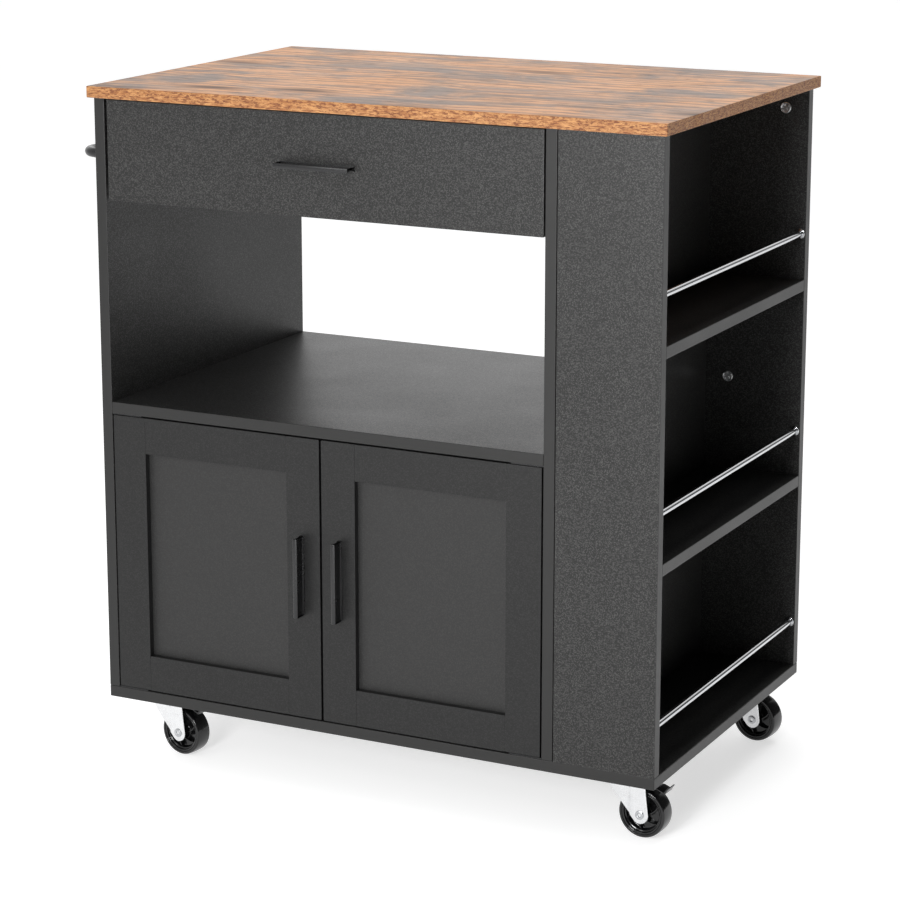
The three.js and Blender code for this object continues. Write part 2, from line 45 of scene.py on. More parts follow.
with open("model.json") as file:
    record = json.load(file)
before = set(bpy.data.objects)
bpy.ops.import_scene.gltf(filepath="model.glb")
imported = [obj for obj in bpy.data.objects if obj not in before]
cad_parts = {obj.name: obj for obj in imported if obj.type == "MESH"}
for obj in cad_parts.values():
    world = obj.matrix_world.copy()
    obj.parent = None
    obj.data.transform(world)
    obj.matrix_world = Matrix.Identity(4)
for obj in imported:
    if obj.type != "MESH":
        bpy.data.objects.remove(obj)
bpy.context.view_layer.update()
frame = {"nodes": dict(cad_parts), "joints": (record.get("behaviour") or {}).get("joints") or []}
MM = 0.001
CLEAR = 0.00002
WELD_DISTANCE = 0.00001
NODES = frame["nodes"]
JOINTS = {joint["name"]: joint for joint in frame["joints"]}
CASTERS = ("front_left", "front_right", "rear_left", "rear_right")
BRAKED = ("front_left", "front_right")
TIERS = ("lower", "middle", "upper")
SIDES = ("left", "right")


# ---------------------------------------------------------------------------------------------------------
# Sizes, colours and the stage, as a user would change them


class CartSizes(bpy.types.PropertyGroup):
    """Edge radii and the sizes of the small pieces"""

    board_edge: bpy.props.FloatProperty(
        name="Board edge", description="Radius of the boards' softened edges",
        default=0.0010, min=0.0001, max=0.003, subtype="DISTANCE", unit="LENGTH")
    door_edge: bpy.props.FloatProperty(
        name="Door edge", description="Radius of the edges of the doors and their frames",
        default=0.0010, min=0.0001, max=0.002, subtype="DISTANCE", unit="LENGTH")
    hardware_edge: bpy.props.FloatProperty(
        name="Hardware edge", description="Radius of the edges of the steel fittings",
        default=0.0003, min=0.0001, max=0.001, subtype="DISTANCE", unit="LENGTH")
    handle_edge: bpy.props.FloatProperty(
        name="Handle edge", description="Radius of the bar handles' edges",
        default=0.0004, min=0.0001, max=0.001, subtype="DISTANCE", unit="LENGTH")
    wheel_ribs: bpy.props.IntProperty(
        name="Wheel ribs", description="Ribs in each wheel's hollow face", default=6, min=3, max=12)
    rib_twist: bpy.props.FloatProperty(
        name="Rib twist", description="How far a rib turns about the hub from its root to the rim",
        default=math.radians(26), subtype="ANGLE", unit="ROTATION")
    socket_radius: bpy.props.FloatProperty(
        name="Rail socket", description="Radius of the sockets that hold the rack rails",
        default=0.0070, subtype="DISTANCE", unit="LENGTH")
    cam_radius: bpy.props.FloatProperty(
        name="Cam lock", description="Radius of a cam lock's face",
        default=0.0074, subtype="DISTANCE", unit="LENGTH")
    screw_radius: bpy.props.FloatProperty(
        name="Screw head", description="Radius of a pan head screw",
        default=0.0042, subtype="DISTANCE", unit="LENGTH")


class CartColours(bpy.types.PropertyGroup):
    """Linear colours of the finishes"""

    board: bpy.props.FloatVectorProperty(
        name="Board", description="Black laminate of the boards", subtype="COLOR", size=3,
        default=(0.0060, 0.0059, 0.0057), min=0, max=1)
    # Painted sheen: the colour that the grain's tips get, lighter than the board, as if light glinted on
    # them.
    board_tip_sheen: bpy.props.FloatVectorProperty(
        name="Board speck", description="Light tips of the laminate's grain", subtype="COLOR", size=3,
        default=(0.120, 0.119, 0.117), min=0, max=1)
    board_band: bpy.props.FloatVectorProperty(
        name="Edge band", description="Edge band of the black boards", subtype="COLOR", size=3,
        default=(0.014, 0.0138, 0.0135), min=0, max=1)
    door: bpy.props.FloatVectorProperty(
        name="Door", description="Black foil of the doors", subtype="COLOR", size=3,
        default=(0.0075, 0.0075, 0.0076), min=0, max=1)
    drawer_box: bpy.props.FloatVectorProperty(
        name="Drawer box", description="Board of the drawer's box", subtype="COLOR", size=3,
        default=(0.030, 0.029, 0.028), min=0, max=1)
    wood_light: bpy.props.FloatVectorProperty(
        name="Light wood", description="Palest tan of the wood print", subtype="COLOR", size=3,
        default=(0.70, 0.368, 0.170), min=0, max=1)
    wood_tan: bpy.props.FloatVectorProperty(
        name="Tan wood", description="Tan patches of the wood print", subtype="COLOR", size=3,
        default=(0.57, 0.245, 0.090), min=0, max=1)
    wood_grey: bpy.props.FloatVectorProperty(
        name="Weathered wood", description="Grey-brown patches of the wood print", subtype="COLOR", size=3,
        default=(0.200, 0.155, 0.130), min=0, max=1)
    wood_dark: bpy.props.FloatVectorProperty(
        name="Dark grain", description="Dark grain and knots of the wood print", subtype="COLOR", size=3,
        default=(0.085, 0.052, 0.038), min=0, max=1)
    edge_light: bpy.props.FloatVectorProperty(
        name="Light edge", description="Palest orange of the top's edge band", subtype="COLOR", size=3,
        default=(0.49, 0.250, 0.100), min=0, max=1)
    edge_orange: bpy.props.FloatVectorProperty(
        name="Orange edge", description="Orange of the top's edge band", subtype="COLOR", size=3,
        default=(0.27, 0.108, 0.042), min=0, max=1)
    edge_fleck: bpy.props.FloatVectorProperty(
        name="Edge fleck", description="Dark flecks of the top's edge band", subtype="COLOR", size=3,
        default=(0.14, 0.045, 0.022), min=0, max=1)
    powder_coat: bpy.props.FloatVectorProperty(
        name="Powder coat", description="Black coat of the handles and the towel bar", subtype="COLOR",
        size=3, default=(0.0055, 0.0055, 0.006), min=0, max=1)
    chrome: bpy.props.FloatVectorProperty(
        name="Chrome", description="Polished chrome of the rails", subtype="COLOR", size=3,
        default=(0.60, 0.61, 0.625), min=0, max=1)
    steel: bpy.props.FloatVectorProperty(
        name="Hardware steel", description="Zinc-plated sheet of the slides, pivots and screws",
        subtype="COLOR", size=3, default=(0.52, 0.53, 0.545), min=0, max=1)
    zinc: bpy.props.FloatVectorProperty(
        name="Bright zinc", description="Bright zinc plating of the casters", subtype="COLOR", size=3,
        default=(0.80, 0.805, 0.815), min=0, max=1)
    wheel: bpy.props.FloatVectorProperty(
        name="Wheel", description="Black moulded plastic of the wheels and brakes", subtype="COLOR", size=3,
        default=(0.0035, 0.0035, 0.0038), min=0, max=1)


class CartStage(bpy.types.PropertyGroup):
    """Camera, floor and room"""

    lens: bpy.props.FloatProperty(
        name="Lens", description="Focal length on a 36 mm sensor", default=114.8, unit="CAMERA")
    position: bpy.props.FloatVectorProperty(
        name="Camera place", description="Where the camera stands", subtype="TRANSLATION", size=3,
        default=(1.684, -3.3075, 1.346), unit="LENGTH")
    azimuth: bpy.props.FloatProperty(
        name="Azimuth", description="Turn of the view from +Y towards -X",
        default=math.radians(26.75), subtype="ANGLE", unit="ROTATION")
    pitch: bpy.props.FloatProperty(
        name="Pitch", description="How far the view looks down",
        default=math.radians(13.12), subtype="ANGLE", unit="ROTATION")
    shift: bpy.props.FloatProperty(
        name="Shift", description="Small vertical lens shift that frames the cart", default=-0.06)
    floor_size: bpy.props.FloatProperty(
        name="Floor", description="Side of the square floor", default=60.0, unit="LENGTH")
    floor_glow: bpy.props.FloatProperty(
        name="Floor glow", description="Light of the lit studio table", default=0.62, min=0)
    room_light: bpy.props.FloatProperty(
        name="Room light", description="Light of the white studio walls", default=0.75, min=0)


# ---------------------------------------------------------------------------------------------------------
# Surfaces: every shape is a stack of rings, and each ring is joined to the next


def shell(rings, looped=False):
    """Closed surface through rings of points, an array (rings, points, 3): point j of ring i joins point j
    of ring i + 1. The first and last rings get one flat face each, or join each other when looped."""
    count, points = rings.shape[:2]
    here = np.arange(count if looped else count - 1)[:, None]
    along = np.arange(points)[None, :]
    near = here * points
    far = (here + 1) % count * points
    following = (along + 1) % points
    quads = np.stack([near + along, near + following, far + following, far + along], axis=-1).reshape(-1, 4)
    caps = [] if looped else [np.arange(points)[::-1], (count - 1) * points + np.arange(points)]
    vertices = rings.reshape(-1, 3)
    triangles = [quads[:, [0, 1, 2]], quads[:, [0, 2, 3]]]
    triangles += [np.stack([np.full(points - 2, cap[0]), cap[1:-1], cap[2:]], axis=-1) for cap in caps]
    corners = vertices[np.concatenate(triangles)] - vertices.mean(0)
    volume = np.einsum("ij,ij->i", corners[:, 0], np.cross(corners[:, 1], corners[:, 2])).sum()
    if volume < 0:
        quads = quads[:, ::-1]
        caps = [cap[::-1] for cap in caps]
    return vertices, [*quads.tolist(), *[cap.tolist() for cap in caps]]


def rounded(points, radius, steps=4, closed=True):
    """Polygon (n, 2) with each corner replaced by a quadratic arc that starts and ends one radius from it,
    and never past the middle of a side. An open line keeps its two ends."""
    points = np.asarray(points, float)
    back = np.roll(points, 1, axis=0) - points
    ahead = np.roll(points, -1, axis=0) - points
    back_length = np.linalg.norm(back, axis=1)
    ahead_length = np.linalg.norm(ahead, axis=1)
    reach = np.minimum(np.broadcast_to(radius, len(points)), np.minimum(back_length, ahead_length) * 0.49)
    start = points + back * (reach / back_length)[:, None]
    end = points + ahead * (reach / ahead_length)[:, None]
    t = np.linspace(0, 1, steps + 1)[None, :, None]
    arcs = (1 - t) ** 2 * start[:, None] + 2 * t * (1 - t) * points[:, None] + t ** 2 * end[:, None]
    if closed:
        return arcs.reshape(-1, 2)
    return np.concatenate([points[:1], arcs[1:-1].reshape(-1, 2), points[-1:]])


def perpendicular(axis):
    """Two unit vectors square to the axis and to each other, right-handed with it."""
    axis = np.asarray(axis, float) / np.linalg.norm(axis)
    helper = np.array([0, 0, 1.0]) if abs(axis[2]) < 0.9 else np.array([1.0, 0, 0])
    across = np.cross(helper, axis)
    across /= np.linalg.norm(across)
    return axis, across, np.cross(axis, across)


def turned(profile, centre, axis, segments=48, looped=False):
    """Surface of revolution: each profile point (radius, height) becomes a circle of that radius about the
    axis through the centre, at that height along it."""
    axis, across, up = perpendicular(axis)
    profile = np.asarray(profile, float)
    angle = np.linspace(0, 2 * math.pi, segments, endpoint=False)
    circle = np.cos(angle)[:, None] * across + np.sin(angle)[:, None] * up
    rings = profile[:, 0, None, None] * circle[None] + (profile[:, 1, None] * axis)[:, None]
    return shell(rings + np.asarray(centre, float), looped)


def carried(path, section, binormal):
    """Section (m, 2) carried along a flat path (k, 3): its first coordinate is measured in the path's plane,
    square to the path, and its second along the binormal."""
    path = np.asarray(path, float)
    binormal = np.asarray(binormal, float)
    tangent = np.gradient(path, axis=0)
    tangent /= np.linalg.norm(tangent, axis=1)[:, None]
    normal = np.cross(binormal, tangent)
    section = np.asarray(section, float)
    return path[:, None] + section[None, :, 0, None] * normal[:, None] + section[None, :, 1, None] * binormal


def pressed(outline, levels, origin, along, up, through):
    """Outline (n, 2) stacked at several levels, each (inset, height): the outline is moved inwards by the
    inset along its own normals, and placed at that height in the third direction."""
    outline = np.asarray(outline, float)
    tangent = np.roll(outline, -1, axis=0) - np.roll(outline, 1, axis=0)
    tangent /= np.linalg.norm(tangent, axis=1)[:, None]
    normal = np.stack([tangent[:, 1], -tangent[:, 0]], axis=-1)
    area = np.sum(outline[:, 0] * np.roll(outline[:, 1], -1) - np.roll(outline[:, 0], -1) * outline[:, 1])
    inward = -normal * np.sign(area)
    inset, height = np.asarray(levels, float).T
    flat = outline[None] + inset[:, None, None] * inward[None]
    along, up, through = (np.asarray(v, float) for v in (along, up, through))
    rings = flat[..., :1] * along + flat[..., 1:] * up + height[:, None, None] * through
    return shell(rings + np.asarray(origin, float))


def circle_of(radius, points):
    """Circle of the radius as an array (points, 2)."""
    angle = np.linspace(0, 2 * math.pi, points, endpoint=False)
    return radius * np.stack([np.cos(angle), np.sin(angle)], axis=-1)


def rounded_levels(low, high, radius, steps=3):
    """Levels for a slab from low to high whose two rims are quarter rounds of the radius."""
    angle = np.linspace(0, math.pi / 2, steps + 1)
    inset = radius * (1 - np.sin(angle))
    rise = radius * (1 - np.cos(angle))
    lower = np.stack([inset, low + rise], axis=-1)
    upper = np.stack([inset[::-1], high - rise[::-1]], axis=-1)
    return np.concatenate([lower, upper])


def add_piece(name, shells, material, body, replaces=(), sharp=35):
    """One object made of closed shells. Its place is in its mesh, and it rides on a body of the frame. Edges
    that bend by more than the sharp angle, in degrees, stay crisp."""
    offsets = np.cumsum([0] + [len(vertices) for vertices, _ in shells])
    vertices = np.concatenate([vertices for vertices, _ in shells])
    faces = [[index + int(offset) for index in face]
             for (_, own), offset in zip(shells, offsets) for face in own]
    mesh = bpy.data.meshes.new(name)
    mesh.from_pydata(vertices.tolist(), [], faces)
    mesh.validate()
    mesh.shade_smooth()
    mesh.set_sharp_from_angle(angle=math.radians(sharp))
    mesh.materials.append(material)
    piece = bpy.data.objects.new(name, mesh)
    bpy.context.scene.collection.objects.link(piece)
    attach(piece, body)
    if replaces:
        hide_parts(*replaces)


def soften(name, width, material):
    """Welds a CAD node's loose faces, rounds its edges by the width and gives it its material."""
    piece = NODES[name]
    weld = piece.modifiers.new("weld", "WELD")
    weld.merge_threshold = WELD_DISTANCE
    bevel = piece.modifiers.new("soft_edges", "BEVEL")
    bevel.width = width
    bevel.segments = 3
    bevel.limit_method = "ANGLE"
    bevel.angle_limit = math.radians(40)
    bevel.harden_normals = True
    for slot in piece.material_slots:
        slot.material = material
    return piece


# ---------------------------------------------------------------------------------------------------------
# Shader helpers


def feed(tree, made, inputs):
    """Links each input that is given as a socket, and sets every other value."""
    for name, value in inputs.items():
        if isinstance(value, bpy.types.NodeSocket):
            tree.links.new(value, made.inputs[name])
        else:
            made.inputs[name].default_value = value


def node(tree, kind, inputs=None, **settings):
    """Adds a shader node with its settings and inputs."""
    made = tree.nodes.new("ShaderNode" + kind)
    for name, value in settings.items():
        setattr(made, name, value)
    feed(tree, made, inputs or {})
    return made


def calculate(tree, operation, first, second=0.0):
    """Result of one sum on values or sockets."""
    return node(tree, "Math", {0: first, 1: second}, operation=operation).outputs[0]


def spread(tree, value, low, high, to_low=0.0, to_high=1.0):
    """Value mapped from low..high to to_low..to_high, held at both ends."""
    inputs = {"Value": value, "From Min": low, "From Max": high, "To Min": to_low, "To Max": to_high}
    return node(tree, "MapRange", inputs, clamp=True).outputs[0]


def mix_colours(tree, factor, first, second):
    """The first colour where the factor is 0, and the second where it is 1."""
    return node(tree, "Mix", {0: factor, 6: first, 7: second}, data_type="RGBA").outputs[2]


def stretched(tree, vector, scale):
    """Vector scaled along each axis: a pattern on it is squeezed by that much."""
    return node(tree, "Mapping", {"Vector": vector, "Scale": scale}).outputs[0]


def noise(tree, vector, scale, detail=2.0, roughness=0.5, distortion=0.0):
    """Cloudy noise about 0.5."""
    inputs = {"Vector": vector, "Scale": scale, "Detail": detail, "Roughness": roughness,
              "Distortion": distortion}
    return node(tree, "TexNoise", inputs).outputs[0]


def colour(values):
    """Red, green and blue with the opaque fourth value that a socket needs."""
    return (*values, 1.0)


def shared_group(name, inputs, outputs, build):
    """Node group with named sockets, built once. build(tree, inputs, outputs) fills it."""
    found = bpy.data.node_groups.get(name)
    if found:
        return found
    tree = bpy.data.node_groups.new(name, "ShaderNodeTree")
    for label, kind, default in inputs:
        socket = tree.interface.new_socket(label, in_out="INPUT", socket_type="NodeSocket" + kind)
        if default is not None:
            socket.default_value = default
    for label, kind in outputs:
        tree.interface.new_socket(label, in_out="OUTPUT", socket_type="NodeSocket" + kind)
    entry = tree.nodes.new("NodeGroupInput")
    leave = tree.nodes.new("NodeGroupOutput")
    build(tree, entry.outputs, leave.inputs)
    return tree


def use_group(tree, group, inputs):
    """Outputs of a shared group placed in the tree."""
    return node(tree, "Group", inputs, node_tree=group).outputs


def pebble_group():
    """Pressed laminate grain: small rounded cells and finer noise as height, and round tips, each of its own
    brightness, that mark where a sheen of light is painted into the colour."""
    def build(tree, inputs, outputs):
        frequency = calculate(tree, "DIVIDE", 1.0, inputs["Grain Size"])
        cells = node(tree, "TexVoronoi", {"Vector": inputs["Vector"], "Scale": frequency},
                     feature="SMOOTH_F1").outputs["Distance"]
        fine = noise(tree, inputs["Vector"], calculate(tree, "MULTIPLY", frequency, 2.3), 2.0, 0.6)
        height = calculate(tree, "ADD", calculate(tree, "MULTIPLY", cells, 0.6), fine)
        tree.links.new(height, outputs["Height"])
        dots = node(tree, "TexVoronoi", {"Vector": inputs["Vector"], "Scale": frequency},
                    feature="F1").outputs
        # The tips mark painted sheen: each cell's own brightness, fading out from its centre.
        shade = node(tree, "SeparateColor", {"Color": dots["Color"]}).outputs["Red"]
        bright = spread(tree, shade, 0.20, 0.95)
        round_off = spread(tree, dots["Distance"], 0.40, 0.75, 1.0, 0.0)
        tree.links.new(calculate(tree, "MULTIPLY", bright, round_off), outputs["Tips"])
    return shared_group("laminate_pebble", [("Vector", "Vector", None), ("Grain Size", "Float", 0.001)],
                        [("Height", "Float"), ("Tips", "Float")], build)


def smudge_group():
    """Large soft clouds and faint wipe marks, from 0 to 1, for uneven gloss."""
    def build(tree, inputs, outputs):
        clouds = noise(tree, inputs["Vector"], inputs["Scale"], 3.0, 0.55, 0.4)
        wipes = noise(tree, stretched(tree, inputs["Vector"], (1.0, 1.0, 6.0)), inputs["Scale"], 2.0, 0.6)
        both = calculate(tree, "ADD", calculate(tree, "MULTIPLY", clouds, 0.65),
                         calculate(tree, "MULTIPLY", wipes, 0.35))
        tree.links.new(spread(tree, both, 0.36, 0.64), outputs["Smudge"])
    return shared_group("handling_smudges", [("Vector", "Vector", None), ("Scale", "Float", 6.0)],
                        [("Smudge", "Float")], build)


def face_group():
    """1 on the broad faces of a board, whose normal lies along the axis, and 0 on its edge bands."""
    def build(tree, inputs, outputs):
        along = node(tree, "VectorMath", {0: inputs["Normal"], 1: inputs["Axis"]}, operation="DOT_PRODUCT")
        size = calculate(tree, "ABSOLUTE", along.outputs["Value"])
        tree.links.new(spread(tree, size, 0.6, 0.8), outputs["Face"])
    return shared_group("board_face", [("Normal", "Vector", None), ("Axis", "Vector", (0, 0, 1))],
                        [("Face", "Float")], build)


def scratch_group():
    """Fine rolled or brushed lines along X, Y or Z as the stretch says, from 0 to 1."""
    def build(tree, inputs, outputs):
        placed = node(tree, "VectorMath", {0: inputs["Vector"], 1: inputs["Stretch"]}, operation="MULTIPLY")
        lines = noise(tree, placed.outputs[0], inputs["Scale"], 4.0, 0.7)
        tree.links.new(spread(tree, lines, 0.3, 0.7), outputs["Lines"])
    return shared_group("fine_lines", [("Vector", "Vector", None), ("Stretch", "Vector", (1, 1, 1)),
                                       ("Scale", "Float", 600.0)], [("Lines", "Float")], build)


def wood_group():
    """Rustic wood print seen from above, grain along X: weathered patches, growth figure, fine streaks,
    dark flecks and knots, each from 0 to 1."""
    def build(tree, inputs, outputs):
        vector = inputs["Vector"]
        wavering = noise(tree, stretched(tree, vector, (2.0, 6.0, 1.0)), 1.6, 2.0, 0.5)
        bend = node(tree, "CombineXYZ", {"X": 0.0, "Y": calculate(tree, "MULTIPLY", wavering, 0.05)})
        bent = node(tree, "VectorMath", {0: vector, 1: bend.outputs[0]}, operation="ADD").outputs[0]
        patches = noise(tree, stretched(tree, bent, (5.5, 15.0, 1.0)), 1.0, 6.0, 0.66, 0.9)
        tree.links.new(spread(tree, patches, 0.43, 0.60), outputs["Weathered"])
        streaks = noise(tree, stretched(tree, bent, (15.0, 70.0, 1.0)), 1.0, 6.0, 0.72)
        tree.links.new(spread(tree, streaks, 0.24, 0.80), outputs["Streaks"])
        figure = node(tree, "TexWave", {"Vector": stretched(tree, bent, (1.1, 5.2, 1.0)), "Scale": 2.6,
                                        "Distortion": 9.0, "Detail": 3.0, "Detail Scale": 0.9,
                                        "Detail Roughness": 0.55},
                      bands_direction="Y", wave_profile="SIN").outputs["Fac"]
        tree.links.new(spread(tree, figure, 0.62, 1.0), outputs["Figure"])
        flecks = noise(tree, stretched(tree, bent, (26.0, 210.0, 1.0)), 1.0, 4.0, 0.68)
        tree.links.new(spread(tree, flecks, 0.545, 0.66), outputs["Flecks"])
        knots = node(tree, "TexVoronoi", {"Vector": stretched(tree, bent, (4.2, 14.0, 0.0)), "Scale": 1.0,
                                          "Randomness": 1.0}, feature="F1").outputs["Distance"]
        tree.links.new(spread(tree, knots, 0.30, 0.08), outputs["Knots"])
    names = ("Weathered", "Streaks", "Figure", "Flecks", "Knots")
    return shared_group("rustic_print", [("Vector", "Vector", None)], [(n, "Float") for n in names], build)


def smudges(tree, vector, scale):
    """Handling smudges from 0 to 1."""
    return use_group(tree, smudge_group(), {"Vector": vector, "Scale": scale})["Smudge"]


def fine_lines(tree, vector, stretch, scale):
    """Rolled or brushed lines from 0 to 1."""
    return use_group(tree, scratch_group(), {"Vector": vector, "Stretch": stretch, "Scale": scale})["Lines"]


def pebbles(tree, vector, size):
    """Height and light tips of the laminate's grain."""
    return use_group(tree, pebble_group(), {"Vector": vector, "Grain Size": size})


def broad_faces(tree, places, axis):
    """Mask of a board's broad faces."""
    return use_group(tree, face_group(), {"Normal": places.outputs["Normal"], "Axis": axis})["Face"]


def principled(name, **constants):
    """New material with one Principled BSDF. Constants go straight onto the shader's sockets."""
    material = bpy.data.materials.new(name)
    material.use_nodes = True
    tree = material.node_tree
    tree.nodes.clear()
    shader = tree.nodes.new("ShaderNodeBsdfPrincipled")
    output = tree.nodes.new("ShaderNodeOutputMaterial")
    tree.links.new(shader.outputs[0], output.inputs["Surface"])
    for socket, value in constants.items():
        shader.inputs[socket.replace("_", " ")].default_value = value
    places = tree.nodes.new("ShaderNodeTexCoord")
    return material, tree, shader, places


def bump(tree, shader, height, strength, distance):
    """Tilts the shader's normal by a height field. The distance is the relief's depth."""
    made = node(tree, "Bump", {"Height": height, "Strength": strength, "Distance": distance})
    tree.links.new(made.outputs[0], shader.inputs["Normal"])


def once(maker):
    """Keeps the first result of a material maker for each set of arguments."""
    made = {}

    def kept(*arguments):
        if arguments not in made:
            made[arguments] = maker(*arguments)
        return made[arguments]
    return kept


# ---------------------------------------------------------------------------------------------------------
# Finishes


@once
def black_laminate(axis):
    """Pebbled black laminate on the faces whose normal is the axis, with a painted sheen on its grain's
    tips, and a smoother band on the edges.
    """
    shades = bpy.context.scene.cart_colours
    material, tree, shader, places = principled(f"black_laminate_{axis}", Specular_IOR_Level=0.38)
    vector = places.outputs["Object"]
    unit = [1.0 if letter == axis else 0.0 for letter in "xyz"]
    face = broad_faces(tree, places, unit)
    pebble = pebbles(tree, vector, 0.0013)
    smudge = smudges(tree, vector, 5.0)
    # Painted sheen: the grain's tips on the broad faces are coloured lighter, as if light glinted on them.
    speck = calculate(tree, "MULTIPLY", pebble["Tips"], calculate(tree, "MULTIPLY", face, 0.44))
    ground = mix_colours(tree, face, colour(shades.board_band), colour(shades.board))
    tree.links.new(mix_colours(tree, speck, ground, colour(shades.board_tip_sheen)), shader.inputs["Base Color"])
    gloss = spread(tree, smudge, 0.0, 1.0, 0.40, 0.46)
    tree.links.new(calculate(tree, "SUBTRACT", gloss, calculate(tree, "MULTIPLY", pebble["Tips"], 0.06)),
                   shader.inputs["Roughness"])
    height = calculate(tree, "MULTIPLY", pebble["Height"], spread(tree, face, 0.0, 1.0, 0.25, 1.0))
    bump(tree, shader, height, 0.22, 0.00022)
    return material


@once
def door_foil(painted_sheen):
    """Smooth black foil of the doors, with a faint fine grain, a painted sheen on the grain's tips and wiped
    gloss. Its argument paints more sheen: it lightens the whole foil towards the tips' colour, so that the
    slabs look more brightly lit than their frames."""
    shades = bpy.context.scene.cart_colours
    material, tree, shader, places = principled(f"door_foil_{round(painted_sheen * 100)}", Specular_IOR_Level=0.32)
    vector = places.outputs["Object"]
    pebble = pebbles(tree, vector, 0.0014)
    smudge = smudges(tree, vector, 7.0)
    # Painted sheen: lighter colour on the grain's tips, plus an even lift that makes a slab look more
    # brightly lit.
    speck = calculate(tree, "ADD", calculate(tree, "MULTIPLY", pebble["Tips"], 0.10), painted_sheen)
    tree.links.new(mix_colours(tree, speck, colour(shades.door), colour(shades.board_tip_sheen)),
                   shader.inputs["Base Color"])
    tree.links.new(spread(tree, smudge, 0.0, 1.0, 0.42, 0.50), shader.inputs["Roughness"])
    bump(tree, shader, pebble["Height"], 0.12, 0.00015)
    return material


@once
def drawer_board():
    """Plain black board of the drawer's box, with a faint lengthwise grain."""
    shades = bpy.context.scene.cart_colours
    material, tree, shader, places = principled("drawer_box_board", Specular_IOR_Level=0.45)
    vector = places.outputs["Object"]
    lines = fine_lines(tree, vector, (1.0, 0.08, 1.0), 420.0)
    smudge = smudges(tree, vector, 6.0)
    paler = [channel * 1.8 for channel in shades.drawer_box]
    tree.links.new(mix_colours(tree, calculate(tree, "MULTIPLY", lines, 0.5), colour(shades.drawer_box),
                               colour(paler)), shader.inputs["Base Color"])
    tree.links.new(spread(tree, smudge, 0.0, 1.0, 0.5, 0.62), shader.inputs["Roughness"])
    bump(tree, shader, lines, 0.25, 0.00012)
    return material


@once
def wood_top():
    """Rustic wood print on the broad faces, and an orange flecked band round the edge."""
    shades = bpy.context.scene.cart_colours
    material, tree, shader, places = principled("rustic_wood_laminate", Specular_IOR_Level=0.20)
    vector = places.outputs["Object"]
    face = broad_faces(tree, places, (0, 0, 1))
    wood = use_group(tree, wood_group(), {"Vector": vector})
    tan = mix_colours(tree, wood["Streaks"], colour(shades.wood_tan), colour(shades.wood_light))
    weather = calculate(tree, "MULTIPLY", wood["Weathered"], 0.9)
    grey = mix_colours(tree, weather, tan, colour(shades.wood_grey))
    figured = mix_colours(tree, calculate(tree, "MULTIPLY", wood["Figure"], 0.48), grey,
                          colour(shades.wood_dark))
    marks = calculate(tree, "MAXIMUM", calculate(tree, "MULTIPLY", wood["Flecks"], 0.80),
                      calculate(tree, "MULTIPLY", wood["Knots"], 0.9))
    print_colour = mix_colours(tree, marks, figured, colour(shades.wood_dark))
    band = noise(tree, stretched(tree, vector, (75.0, 75.0, 380.0)), 1.0, 5.0, 0.75, 0.6)
    tufts = noise(tree, stretched(tree, vector, (150.0, 150.0, 620.0)), 1.0, 4.0, 0.75)
    orange = mix_colours(tree, spread(tree, band, 0.40, 0.58), colour(shades.edge_orange),
                         colour(shades.edge_light))
    flecks = spread(tree, tufts, 0.50, 0.585)
    edge_colour = mix_colours(tree, calculate(tree, "MULTIPLY", flecks, 0.95), orange,
                              colour(shades.edge_fleck))
    tree.links.new(mix_colours(tree, face, edge_colour, print_colour), shader.inputs["Base Color"])
    smudge = smudges(tree, vector, 4.0)
    rough_face = spread(tree, smudge, 0.0, 1.0, 0.40, 0.50)
    rough = calculate(tree, "ADD", rough_face, calculate(tree, "MULTIPLY", marks, 0.12))
    tree.links.new(rough, shader.inputs["Roughness"])
    pores = calculate(tree, "SUBTRACT", calculate(tree, "MULTIPLY", wood["Streaks"], 0.5), marks)
    relief = node(tree, "Mix", {0: face, 2: calculate(tree, "MULTIPLY", flecks, -1.5), 3: pores})
    bump(tree, shader, relief.outputs[0], 0.3, 0.0002)
    return material


@once
def powder_coat():
    """Satin black powder coat with its fine orange peel."""
    shades = bpy.context.scene.cart_colours
    material, tree, shader, places = principled("black_powder_coat", Specular_IOR_Level=0.5)
    vector = places.outputs["Object"]
    peel = noise(tree, vector, 1500.0, 2.0, 0.55)
    smudge = smudges(tree, vector, 25.0)
    lighter = [channel * 2.2 for channel in shades.powder_coat]
    tree.links.new(mix_colours(tree, spread(tree, peel, 0.45, 0.75), colour(shades.powder_coat),
                               colour(lighter)), shader.inputs["Base Color"])
    tree.links.new(spread(tree, smudge, 0.0, 1.0, 0.24, 0.32), shader.inputs["Roughness"])
    bump(tree, shader, peel, 0.08, 0.00005)
    return material


@once
def chrome_plate():
    """Polished chrome with faint wipe marks in its gloss."""
    shades = bpy.context.scene.cart_colours
    material, tree, shader, places = principled("polished_chrome", Metallic=1.0)
    vector = places.outputs["Object"]
    smudge = smudges(tree, vector, 30.0)
    lines = fine_lines(tree, vector, (1.0, 0.02, 1.0), 2500.0)
    dimmer = [channel * 0.82 for channel in shades.chrome]
    tree.links.new(mix_colours(tree, calculate(tree, "MULTIPLY", smudge, 0.4), colour(shades.chrome),
                               colour(dimmer)), shader.inputs["Base Color"])
    tree.links.new(spread(tree, smudge, 0.0, 1.0, 0.06, 0.12), shader.inputs["Roughness"])
    bump(tree, shader, lines, 0.03, 0.00002)
    return material


